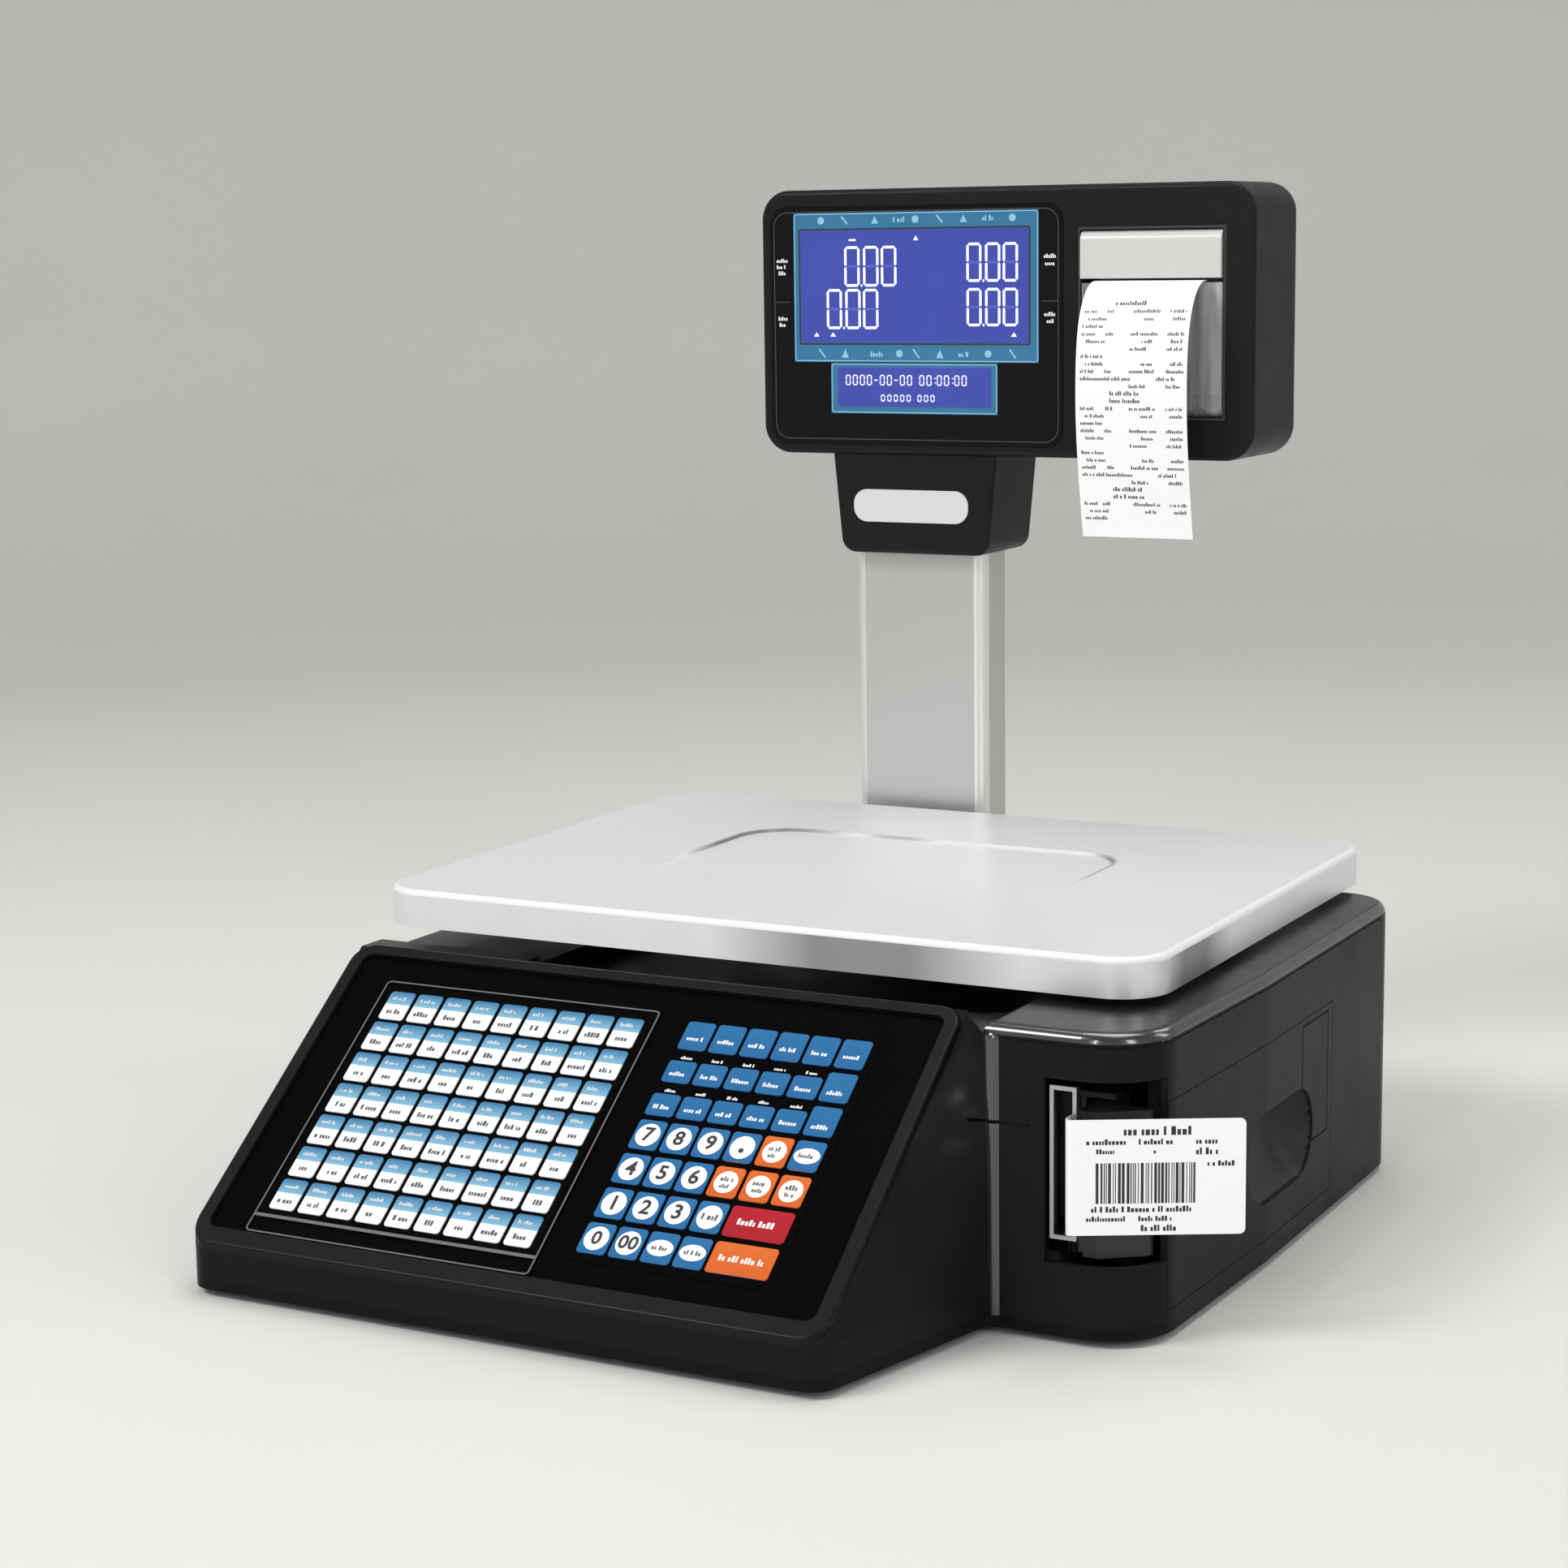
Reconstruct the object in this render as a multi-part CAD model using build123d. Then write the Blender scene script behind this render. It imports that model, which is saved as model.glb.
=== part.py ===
"""Label-printing price scale with a pole-mounted display head, in millimetres.

Every size below is measured from the point on the floor under the middle of the
platter: +X to the right of the person who uses the keys, -Y towards that person,
+Z up. The last step moves the whole object so that the middle of its footprint
box is the origin.
"""
from build123d import *
import os
from math import atan2, cos, degrees, radians, sin, tan

# ---- driving dimensions ---------------------------------------------------
# lower body
BODY_LEFT, BODY_RIGHT = -194.5, 213.0
BODY_FRONT, BODY_BACK = -290.0, 126.0
SIDE_BEND_Y = -60.0             # ahead of this the right side draws in a little
PRINTER_FRONT = -188.0          # front of the label printer's housing
PRINTER_RIGHT = 207.5           # right side at that front
CREASE_X = 138.0                # where the console's cheek meets the housing
FRONT_CORNER = 12.0
WALL = 3.0
FOOT_GAP = 3.4                  # floor to the tray
TRAY_TOP = 8.4                  # the tray's rim, where the upper housing starts
SHELL_TOP = 122.0               # deck of the body
CROWN_TOP = 131.0               # top of the printer's housing, flush with its walls
CROWN_GROOVE = (125.0, 125.9)
WELL = (-108.0, 122.0, -150.0, 96.0)   # sunk middle of the deck: x, x, y, y
WELL_FLOOR = 113.0

# console slope: its top face starts at (SLOPE_Y, SLOPE_Z) and runs back and up
CONSOLE_RIGHT = 113.0
SLOPE_Y, SLOPE_Z = -287.6, 26.3
SLOPE_ANGLE = 37.1
SLOPE_LENGTH = 168.0
BEZEL_HEIGHT = 3.0
PANEL = (-187.5, 106.5, 5.5, 162.0)     # recess inside the bezel: u, u, v, v
PANEL_WINDOW = (-180.0, 99.0, 13.0, 154.0)

# keys: u is across the console, v is up its slope
HOT_COLUMNS, HOT_ROWS = 9, 7
HOT_U, HOT_V, HOT_PITCH_U, HOT_PITCH_V = -163.0, 19.5, 14.9, 17.85
HOT_KEY = (12.9, 16.0)
KEY_PITCH_U, KEY_PITCH_V = 15.0, 18.0
KEY_U, KEY_V = -9.5, 21.5
KEY_SIZE = (13.4, 15.2)
SHORT_KEY = 11.6

# platter and what carries it
PLATTER_SIZE = (384.0, 290.0)
PLATTER_TOP, SKIRT, SHEET = 152.2, 17.3, 1.5
PLATTER_CORNER = 23.0
DISH = (199.0, 141.0, 1.2)      # pressed panel in the platter: x, y, depth
DISH_Y = -5.0
STUD_AT = (132.0, 104.0)
CELL_LENGTH, CELL_WIDTH, CELL_Z, CELL_HEIGHT = 150.0, 40.0, 52.0, 36.0

SPIDER_Z = (133.0, 141.0)
FEET_AT = [(-168, -262), (88, -262), (-168, 98), (184, 98)]

# back of the body: connector plate and its sockets, each x, x, z, z
CONNECTORS = (22.0, 182.0, 24.0, 66.0)
SOCKETS = {
    "network": (30, 46, 32, 46),
    "usb": (54, 68, 32, 46),
    "drawer": (76, 90, 32, 46),
    "serial": (98, 118, 32, 44),
    "switch": (124, 138, 30, 52),
    "inlet": (144, 172, 30, 52),
}
SWITCH_AXIS = (131.0, BODY_BACK + 0.6, 41.0)

# pole and head
POLE_X, POLE_FRONT, POLE_WIDTH, POLE_DEPTH = -55.1, 157.2, 74.2, 31.8
POLE_BOTTOM, POLE_TOP = 12.0, 328.0
NECK_TOP, NECK_BOTTOM = 335.0, 284.0
NECK_X, NECK_WIDE, NECK_NARROW = -53.4, 92.5, 82.5      # its middle, and its width above and below
NECK_FRONT, NECK_BACK = 147.2, 201.5
HEAD_LEFT, HEAD_RIGHT = -138.9, 130.2
HEAD_FRONT, HEAD_BACK, HEAD_SPLIT = 145.2, 216.6, 180.0
HEAD_BASE, HEAD_TOP = 335.0, 469.7
WINDOW = (-133.6, 30.8, 340.0, 461.0)           # display window: x, x, z, z
MAIN_LCD = (-120.0, 17.5, 382.2, 458.0)
LINE_LCD = (-99.0, -5.0, 356.0, 381.8)
REAR_LCD = (-112.0, 18.0, 378.0, 448.0)

# receipt printer in the head
SLOT = (38.0, 116.0, 354.2, 449.3)      # opening in the head: x, x, z, z
DOOR_AXIS = (152.0, 362.2)              # y, z of the door's hinge
DOOR_BARREL = 6.0
LEVER_AXIS = (148.6, 442.0)
LEVER_BARREL = 5.0
EXIT_Z = 422.5                          # height at which the receipt comes out
RECEIPT_PLATEN = (153.6, 414.6)
ROLL = (180.0, 388.0, 19.5, 5.8)        # y, z, radius, bore of the receipt roll
RECEIPT_WIDTH, PAPER = 57.6, 0.22

# label printer cassette: slides out to the right
APERTURE = (-166.0, 27.0, 13.0, 101.0)  # y, y, z, z of the opening in the side
NOTCH = (163.0, 34.0, 111.0)            # corner opening: from x, z, z
CASSETTE_GAP = 0.4
SCOOP = (-62.0, -20.0, 50.0, 22.0, 8.0) # y of its two ends, z, radius, how far its axis stands out
PANEL_LINE = (-15.0, 21.0, 42.0, 98.0)  # engraved outline on the cover: y, y, z, z
LABEL_ROLL = (150.0, -35.0, 42.0)       # x, y, radius
PAPER_Z = (47.0, 97.0)
PLATEN = (158.0, -150.0, 8.0)
HEAD_LATCH = (162.0, -137.0)
SPOOL = (115.5, -125.0, 18.0)
GEAR_MODULE, GEAR_TEETH, PINION_TEETH = 1.0, 24, 12
GEAR_Z = (30.0, 36.0)
PINION_BEARING = 150.0                  # direction of the pinion seen from the platen
LABEL_TIP = (238.5, -159.7)
LABEL_HEADING = 27.9            # direction in which the label stands out, seen from above
LABEL_Z = (48.0, 96.0)
LABEL_REACH, LABEL_CORNER = 150.0, 2.4

# how far a shaft is smaller than its hole, on the radius
RUNNING = 0.06

SHIFT = (-(BODY_LEFT + LABEL_TIP[0]) / 2, -(BODY_FRONT + HEAD_BACK) / 2, 0)


# ---- helpers --------------------------------------------------------------
def block(x0, x1, y0, y1, z0, z1):
    """A box between two corners."""
    return Pos((x0 + x1) / 2, (y0 + y1) / 2, (z0 + z1) / 2) * Box(x1 - x0, y1 - y0, z1 - z0)


def post(x, y, z0, z1, radius):
    """An upright cylinder."""
    return Pos(x, y, (z0 + z1) / 2) * Cylinder(radius, z1 - z0)


def bar_x(x0, x1, y, z, radius):
    """A cylinder along X."""
    return Pos((x0 + x1) / 2, y, z) * Rot(0, 90, 0) * Cylinder(radius, x1 - x0)


def bar_y(x, y0, y1, z, radius):
    """A cylinder along Y."""
    return Pos(x, (y0 + y1) / 2, z) * Rot(90, 0, 0) * Cylinder(radius, y1 - y0)


def plan(points, radii, z0, z1):
    """An upright slab over an outline whose corners are rounded one by one."""
    outline = make_face(FilletPolyline(*points, radius=radii, close=True))
    return Pos(0, 0, z0) * extrude(outline, z1 - z0, dir=(0, 0, 1))


def slope(height=0.0):
    """Plane of the console's slope: x across it, y up it, origin at its lower edge."""
    lean = radians(SLOPE_ANGLE)
    base = Plane(origin=(0, SLOPE_Y, SLOPE_Z), x_dir=(1, 0, 0), z_dir=(0, -sin(lean), cos(lean)))
    return base.offset(height)


def on_slope(u0, u1, v0, v1, low, high, corner=0.0):
    """A slab lying on the console's slope between two heights above its top face."""
    tile = Rectangle(u1 - u0, v1 - v0)
    if corner:
        tile = RectangleRounded(u1 - u0, v1 - v0, corner)
    lifted = slope(low) * Pos((u0 + u1) / 2, (v0 + v1) / 2) * tile
    return extrude(lifted, high - low, dir=slope().z_dir)


def slope_point(v, height):
    """The y and z of a point on the slope."""
    lean = radians(SLOPE_ANGLE)
    return (SLOPE_Y + v * cos(lean) - height * sin(lean), SLOPE_Z + v * sin(lean) + height * cos(lean))


def upright(x0, x1, z0, z1, y0, y1, corner):
    """A slab with rounded corners seen from the front."""
    centre = Pos((x0 + x1) / 2, (z0 + z1) / 2)
    face = Plane.XZ.offset(-y0) * centre * RectangleRounded(x1 - x0, z1 - z0, corner)
    return extrude(face, y1 - y0, dir=(0, 1, 0))


def ribbon(points, thickness):
    """Edge-on face of a thin sheet that follows a smooth curve through points."""
    near = Spline(*points)
    far = []
    for step in range(9):
        heading = near % (step / 8)
        far.append(near @ (step / 8) + Vector(-heading.Y, heading.X) * thickness)
    return make_face(near + Line(near @ 1, far[-1]) + Spline(*reversed(far)) + Line(far[0], near @ 0))


def gear(module, teeth, z0, z1, turn):
    """A spur gear with plain tapered teeth; turn is the angle of its first tooth."""
    pitch = module * teeth / 2
    root, tip = pitch - 1.15 * module, pitch + 0.9 * module
    half_root, half_tip = 0.86 * module, 0.36 * module
    wheel = post(0, 0, z0, z1, root + 0.05)
    outline = Polygon((root - 0.6, -half_root), (tip, -half_tip), (tip, half_tip),
                      (root - 0.6, half_root), align=None)
    tooth = Pos(0, 0, z0) * extrude(outline, z1 - z0, dir=(0, 0, 1))
    for index in range(teeth):
        wheel += Rot(0, 0, turn + index * 360 / teeth) * tooth
    return wheel


# ---- lower body -----------------------------------------------------------
def rear_outline(inset):
    """Outline of the body behind the console, drawn in by inset."""
    points = [
        (BODY_LEFT + inset, BODY_BACK - inset),
        (BODY_LEFT + inset, -155),
        (CREASE_X + inset, -155),
        (CREASE_X + inset, PRINTER_FRONT + inset),
        (PRINTER_RIGHT - inset, PRINTER_FRONT + inset),
        (BODY_RIGHT - inset, SIDE_BEND_Y),
        (BODY_RIGHT - inset, BODY_BACK - inset),
    ]
    return points, [25 - inset, 0, 0, 0, 30 - inset, 150, 25 - inset]


def footprint(inset, z0, z1):
    """A slab over the outline of the whole lower body."""
    points = [
        (BODY_LEFT + inset, BODY_BACK - inset),
        (BODY_LEFT + inset, BODY_FRONT + inset),
        (CONSOLE_RIGHT - inset, BODY_FRONT + inset),
        (CREASE_X - inset, PRINTER_FRONT + inset),
        (PRINTER_RIGHT - inset, PRINTER_FRONT + inset),
        (BODY_RIGHT - inset, SIDE_BEND_Y),
        (BODY_RIGHT - inset, BODY_BACK - inset),
    ]
    front = FRONT_CORNER - inset
    return plan(points, [25 - inset, front, front, 8 + inset, 30 - inset, 150, 25 - inset], z0, z1)


def wedge(inset):
    """The console's sloped body, from the tray's rim to under the bezel."""
    low = slope_point(0, -BEZEL_HEIGHT - inset)
    high = slope_point(SLOPE_LENGTH, -BEZEL_HEIGHT - inset)
    run = (BODY_FRONT + inset - low[0]) * (high[1] - low[1]) / (high[0] - low[0])
    side = Plane.YZ * Polygon(
        (BODY_FRONT + inset, TRAY_TOP - inset),
        (BODY_FRONT + inset, low[1] + run),
        high,
        (-136 - inset, high[1]),
        (-136 - inset, TRAY_TOP - inset),
        align=None,
    )
    left, right = BODY_LEFT + inset, CONSOLE_RIGHT - inset
    corners = [(left, -120), (left, BODY_FRONT + inset), (right, BODY_FRONT + inset), (right, -120)]
    radii = [0, FRONT_CORNER - inset, FRONT_CORNER - inset if inset else 0, 0]
    rounding = plan(corners, radii, 0, CROWN_TOP)
    return (Pos(left, 0, 0) * extrude(side, right - left, dir=(1, 0, 0))) & rounding


def cheek():
    """Twisted flank of the console that sweeps out to the printer's housing."""
    low_z, high_z, back, inner = 21.5, 124.6, -146.0, CONSOLE_RIGHT - 8
    start_y, start_z = slope_point(0, -BEZEL_HEIGHT)

    def ring(z):
        front = start_y + (z - start_z) / tan(radians(SLOPE_ANGLE)) + 0.05
        return [
            (inner, front + 5, z), (CONSOLE_RIGHT, front, z),
            (CREASE_X, PRINTER_FRONT, z), (CREASE_X + 8, PRINTER_FRONT + 4, z),
            (CREASE_X + 8, back, z), (inner, back, z),
        ]

    low, high = ring(low_z), ring(high_z)
    faces = [Face(Wire.make_polygon(low)), Face(Wire.make_polygon(high))]
    for i, j in zip(range(6), [1, 2, 3, 4, 5, 0]):
        if i == 1:
            faces.append(Face.make_surface_from_curves(
                Edge.make_line(low[i], high[i]), Edge.make_line(low[j], high[j])))
        else:
            faces.append(Face(Wire.make_polygon([low[i], low[j], high[j], high[i]])))
    twisted = Solid(Shell(faces))
    foot = Pos(0, 0, TRAY_TOP) * Polygon(*[point[:2] for point in low], align=None)
    return Part(twisted.wrapped) + extrude(foot, low_z - TRAY_TOP, dir=(0, 0, 1))


def crown(inset):
    """The raised top of the printer's housing, drawn in by inset."""
    left = CREASE_X - 2 + inset
    points, radii = rear_outline(inset)
    points = [(left, BODY_BACK - inset), (left, PRINTER_FRONT + inset)] + points[4:]
    return plan(points, [0, 0] + radii[4:], SHELL_TOP - 9, CROWN_TOP - inset)


def body_mass(inset):
    """The whole upper body as a filled shape, drawn in by inset."""
    points, radii = rear_outline(inset)
    rear = plan(points, radii, TRAY_TOP - inset, SHELL_TOP - inset)
    top = crown(inset)
    if inset == 0:
        rear = fillet(rear.edges().group_by(Axis.Z)[-1], 7)
        top = fillet(top.edges().group_by(Axis.Z)[-1], 5)
        low, high = CROWN_GROOVE
        ring = plan(*rear_outline(-1), low, high) - plan(*rear_outline(0.5), low - 1, high + 1)
        top -= ring & block(CREASE_X + 8, 230, -200, BODY_BACK - 30, low - 2, high + 2)
    return rear + top + wedge(inset)


def cassette_window():
    """Space that the cassette's cover and corner outlet take out of the body's skin."""
    y0, y1, z0, z1 = APERTURE
    side = block(NOTCH[0] + 22, 230, y0, y1, z0, z1)
    corner = block(NOTCH[0], 230, PRINTER_FRONT - 12, y0 + 0.01, NOTCH[1], NOTCH[2])
    return side + corner


def upper_housing():
    """Moulded cover of the body, open below, with its deck, slope and openings."""
    # bead along the crease between console and printer, with a groove across it
    column = post(CREASE_X + 2, PRINTER_FRONT + 3.4, TRAY_TOP, CROWN_TOP - 2.5, 4.6)
    column = fillet(column.edges().group_by(Axis.Z)[-1], 4.2)
    corner = block(CONSOLE_RIGHT - 18, CREASE_X + 10, BODY_FRONT - 5, -262, TRAY_TOP - 1, 60)
    corner -= footprint(0, TRAY_TOP - 2, 61)
    skin = (body_mass(0) + cheek()) - corner + column
    skin -= block(CREASE_X - 8, CREASE_X + 19, PRINTER_FRONT - 3, PRINTER_FRONT + 1, 89.5, 91.0)
    shell = skin - body_mass(WALL)
    shell -= block(CONSOLE_RIGHT - 4, CREASE_X - 3, -184, -150, TRAY_TOP - 3, 96)
    shell -= block(CONSOLE_RIGHT - 4, CREASE_X + 4, APERTURE[0], -149, TRAY_TOP - 3, 105)
    # deck well: a sunk floor with a hole for the boss that carries the platter
    x0, x1, y0, y1 = WELL
    shell += block(x0 - WALL, x1 + WALL, y0, y1 + WALL, WELL_FLOOR - WALL, SHELL_TOP - 0.5)
    shell -= block(x0, x1, y0, y1, WELL_FLOOR, CROWN_TOP)
    shell -= block(34, 84, -26, 26, WELL_FLOOR - 10, CROWN_TOP)
    # window behind the key panel
    u0, u1, v0, v1 = PANEL_WINDOW
    shell -= on_slope(u0, u1, v0, v1, -BEZEL_HEIGHT - 12, 0, 4)
    shell -= cassette_window()
    # opening for the connector plate at the back
    left, right, low, high = CONNECTORS
    shell -= block(left + 3, right - 3, BODY_BACK - 8, BODY_BACK + 5, low + 3, high - 3)
    return shell


def base_tray():
    """Bottom tray with a rim, threaded bosses for the feet and stiffening ribs."""
    tray = footprint(0, FOOT_GAP, TRAY_TOP) - footprint(WALL, FOOT_GAP + WALL, TRAY_TOP + 1)
    for x, y in FEET_AT:
        tray += post(x, y, FOOT_GAP, 20, 8)
        tray -= post(x, y, FOOT_GAP - 1, 21, 4 + RUNNING)
    for y in (-230, -60, 60):
        tray += block(BODY_LEFT + WALL, 80, y, y + 2, FOOT_GAP + WALL - 0.5, 12)
    for x in (-120, 20):
        tray += block(x, x + 2, -285, 120, FOOT_GAP + WALL - 0.5, 12)
    return tray


def foot(x, y):
    """Levelling foot: a ribbed rubber pad on a screw."""
    pad = fillet(post(x, y, 0, 3, 13).edges(), 0.8)
    return pad + post(x, y, 2, 17, 4)


def console_bezel():
    """Raised frame around the key panel."""
    outer = on_slope(BODY_LEFT, CONSOLE_RIGHT, -30, SLOPE_LENGTH, -BEZEL_HEIGHT, 0, 11)
    front = BODY_FRONT + 0.2
    corners = [(BODY_LEFT, -100), (BODY_LEFT, front), (CONSOLE_RIGHT, front), (CONSOLE_RIGHT, -100)]
    outer &= plan(corners, [0, FRONT_CORNER, FRONT_CORNER, 0], 0, CROWN_TOP + 5)
    outer = fillet(outer.edges().group_by(Axis(
        (0, SLOPE_Y, SLOPE_Z), slope().z_dir))[-1], 1.6)
    u0, u1, v0, v1 = PANEL
    return outer - on_slope(u0, u1, v0, v1, -BEZEL_HEIGHT - 1, 1, 5)


# ---- keys -----------------------------------------------------------------
def key_panel():
    """Stiff black carrier that fills the bezel and backs the key sheets."""
    u0, u1, v0, v1 = PANEL
    return on_slope(u0 + 0.3, u1 - 0.3, v0 + 0.3, v1 - 0.3, -3, -1.8, 4.5)


def hot_keys():
    """Sheet of article keys: one low cushion for each key on a common film."""
    last_u = HOT_U + HOT_COLUMNS * HOT_PITCH_U
    last_v = HOT_V + HOT_ROWS * HOT_PITCH_V
    sheet = on_slope(HOT_U - 3, last_u + 1, HOT_V - 3, last_v + 1, -1.8, -1.5)
    for column in range(HOT_COLUMNS):
        for row in range(HOT_ROWS):
            u, v = HOT_U + column * HOT_PITCH_U, HOT_V + row * HOT_PITCH_V
            sheet += on_slope(u, u + HOT_KEY[0], v, v + HOT_KEY[1], -1.6, -1.0, 1.6)
    return sheet


def function_key_places():
    """Corners of every function key: u, u, v, v."""
    places = []
    for row in range(7):
        v = KEY_V + row * KEY_PITCH_V
        wide = row < 2
        for column in range(4 if wide else 6):
            u = KEY_U + column * KEY_PITCH_U
            short = row in (4, 5) and column < 5
            height = SHORT_KEY if short else KEY_SIZE[1]
            places.append((u, u + KEY_SIZE[0], v, v + height))
        if wide:
            u = KEY_U + 4 * KEY_PITCH_U
            places.append((u, u + KEY_PITCH_U + KEY_SIZE[0], v, v + KEY_SIZE[1]))
    return places


def function_keys():
    """Sheet of number and function keys: one low cushion for each key."""
    last_u = KEY_U + 6 * KEY_PITCH_U
    last_v = KEY_V + 7 * KEY_PITCH_V
    sheet = on_slope(KEY_U - 4, last_u + 2, KEY_V - 4, last_v + 2, -1.8, -1.5)
    for u0, u1, v0, v1 in function_key_places():
        sheet += on_slope(u0, u1, v0, v1, -1.6, -0.9, 1.6)
    return sheet


def card_pocket():
    """Clear film over the article keys, open at its lower edge for the price card."""
    return on_slope(-168, -25, 6.5, 148, -0.95, -0.65, 2)


def keyboard_board():
    """Switch board screwed up against the underside of the slope."""
    board = on_slope(-184, 103, 9, 158, -7.7, -6.1)
    connector = on_slope(-60, -20, 110, 118, -14, -7.7)
    chips = on_slope(20, 34, 60, 74, -9.4, -7.7) + on_slope(-120, -110, 70, 96, -9.8, -7.7)
    return board + connector + chips


# ---- weighing gear --------------------------------------------------------
def platter():
    """Folded stainless platter with a turned-down skirt and a pressed panel."""
    def tray(width, depth, corner, z0, z1):
        return extrude(Pos(0, 0, z0) * RectangleRounded(width, depth, corner), z1 - z0, dir=(0, 0, 1))

    width, depth = PLATTER_SIZE
    bottom = PLATTER_TOP - SKIRT
    outer = tray(width, depth, PLATTER_CORNER, bottom, PLATTER_TOP)
    outer = fillet(outer.edges().group_by(Axis.Z)[-1], 3)
    inner = tray(width - 2 * SHEET, depth - 2 * SHEET, PLATTER_CORNER - SHEET, bottom - 1,
                 PLATTER_TOP - SHEET)
    inner = fillet(inner.edges().group_by(Axis.Z)[-1], 1.5)
    dish_x, dish_y, dish_z = DISH
    dent = Pos(0, DISH_Y, 0) * tray(dish_x, dish_y, 27, PLATTER_TOP - dish_z, PLATTER_TOP + 1)
    under = PLATTER_TOP - SHEET - dish_z
    bulge = Pos(0, DISH_Y, 0) * tray(dish_x + 2, dish_y + 2, 28, under, PLATTER_TOP - 1)
    return (outer - inner + bulge) - dent


def load_cell():
    """Single-point load cell: an aluminium bar thinned by two joined bores."""
    half = CELL_LENGTH / 2
    top = CELL_Z + CELL_HEIGHT
    bar = block(-half, half, -CELL_WIDTH / 2, CELL_WIDTH / 2, CELL_Z, top)
    middle = CELL_Z + CELL_HEIGHT / 2
    for x in (-15, 15):
        bar -= bar_y(x, -30, 30, middle, 13.5)
    bar -= block(-15, 15, -30, 30, middle - 5, middle + 5)
    for x in (-67, -50):
        bar -= post(x, 0, CELL_Z - 1, top + 1, 3.3)
    for x in (50, 67):
        bar -= post(x, 0, CELL_Z - 1, top + 1, 3.3)
    return bar


def cell_base():
    """Aluminium block that lifts the fixed end of the load cell off the tray."""
    base = block(-76, -42, -26, 26, FOOT_GAP + WALL, CELL_Z)
    for x in (-67, -50):
        base -= post(x, 0, CELL_Z - 20, CELL_Z + 1, 3.1)
    return base


def bolt(x, z_tip, z_seat):
    """Socket-head bolt, pointing down, seated at a height."""
    head = post(x, 0, z_seat, z_seat + 6, 5) - post(x, 0, z_seat + 3, z_seat + 7, 2.5)
    return head + post(x, 0, z_tip, z_seat, 3)


def cell_bolts():
    """Two bolts into the base block and two down through the cross into the cell."""
    bolts = bolt(-67, CELL_Z - 18, CELL_Z + CELL_HEIGHT) + bolt(-50, CELL_Z - 18, CELL_Z + CELL_HEIGHT)
    return bolts + bolt(50, CELL_Z + 8, SPIDER_Z[1]) + bolt(67, CELL_Z + 8, SPIDER_Z[1])


def spider():
    """Cast cross that carries the platter, with a boss down to the load cell."""
    low, high = SPIDER_Z
    reach = (STUD_AT[0] ** 2 + STUD_AT[1] ** 2) ** 0.5 + 11
    turn = degrees(atan2(STUD_AT[1], STUD_AT[0]))
    cross = block(-36, 80, -24, 24, low, high)
    for angle in (turn, -turn):
        arm = Box(2 * reach, 20, high - low)
        arm = fillet(arm.edges().filter_by(Axis.Z), 9)
        cross += Pos(0, 0, (low + high) / 2) * Rot(0, 0, angle) * arm
        rib = Box(2 * reach - 112, 4, 4)
        cross += Pos(0, 0, low - 1.9) * Rot(0, 0, angle) * rib
    cross += block(44, 74, -17, 17, CELL_Z + CELL_HEIGHT, low + 1)
    for x in (50, 67):
        cross -= post(x, 0, CELL_Z, high + 1, 3.3)
    return cross


def stud(x, y):
    """Rubber buffer on the end of an arm of the cross."""
    top = PLATTER_TOP - SHEET - 0.05
    return post(x, y, SPIDER_Z[1], top - 3, 6) + post(x, y, top - 3.5, top, 9)


# ---- electronics in the body ----------------------------------------------
def main_board():
    """Controller board on four pillars, with chips, a coin cell and sockets."""
    board = block(14, 120, 44, 121, 30, 31.6) + block(119, 190, 44, 96, 30, 31.6)
    for x, y in ((32, 48), (186, 48), (32, 116), (112, 116)):
        board += post(x, y, FOOT_GAP + WALL, 30, 3)
    parts = block(70, 90, 60, 80, 31.6, 34) + block(110, 124, 62, 76, 31.6, 33.4)
    parts += post(150, 66, 31.6, 35.5, 10) + block(40, 52, 56, 90, 31.6, 34)
    parts += block(20, 30, 50, 70, 31.6, 40)
    return board + parts


def power_supply():
    """Switch-mode supply in a perforated steel case."""
    case = block(-180, -100, -70, 60, 12, 46)
    for step in range(6):
        y = -56 + step * 20
        case -= block(-172, -108, y, y + 8, 44.6, 47)
    return case


def connector_plate():
    """Plate in the back wall with cut-outs for the sockets."""
    x0, x1, z0, z1 = CONNECTORS
    sheet = upright(x0, x1, z0, z1, BODY_BACK, BODY_BACK + 1.6, 3)
    for left, right, low, high in SOCKETS.values():
        sheet -= block(left - 0.2, right + 0.2, BODY_BACK - 2, BODY_BACK + 4, low - 0.2, high + 0.2)
    return sheet


def rear_ports():
    """Metal-shelled data sockets on the board's rear edge."""
    ports = None
    for name in ("network", "usb", "drawer", "serial"):
        x0, x1, z0, z1 = SOCKETS[name]
        shell = block(x0, x1, 106, BODY_BACK + 2.4, z0, z1)
        shell -= block(x0 + 1.4, x1 - 1.4, BODY_BACK - 10, BODY_BACK + 3, z0 + 1.4, z1 - 1.4)
        ports = shell if ports is None else ports + shell
    return ports


def power_inlet():
    """Mains inlet with three blades in a shrouded well."""
    x0, x1, z0, z1 = SOCKETS["inlet"]
    body = block(x0, x1, 100, BODY_BACK + 1.6, z0, z1)
    body += upright(x0 - 1.5, x1 + 1.5, z0 - 1.5, z1 + 1.5, BODY_BACK + 1.6, BODY_BACK + 3.4, 3)
    body -= block(x0 + 2.5, x1 - 2.5, BODY_BACK - 13, BODY_BACK + 4, z0 + 2.5, z1 - 2.5)
    for x, z in ((-7, 44), (0, 38), (7, 44)):
        middle = (x0 + x1) / 2 + x
        body += block(middle - 1, middle + 1, BODY_BACK - 14, BODY_BACK - 5, z - 2, z + 2)
    return body


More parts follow.
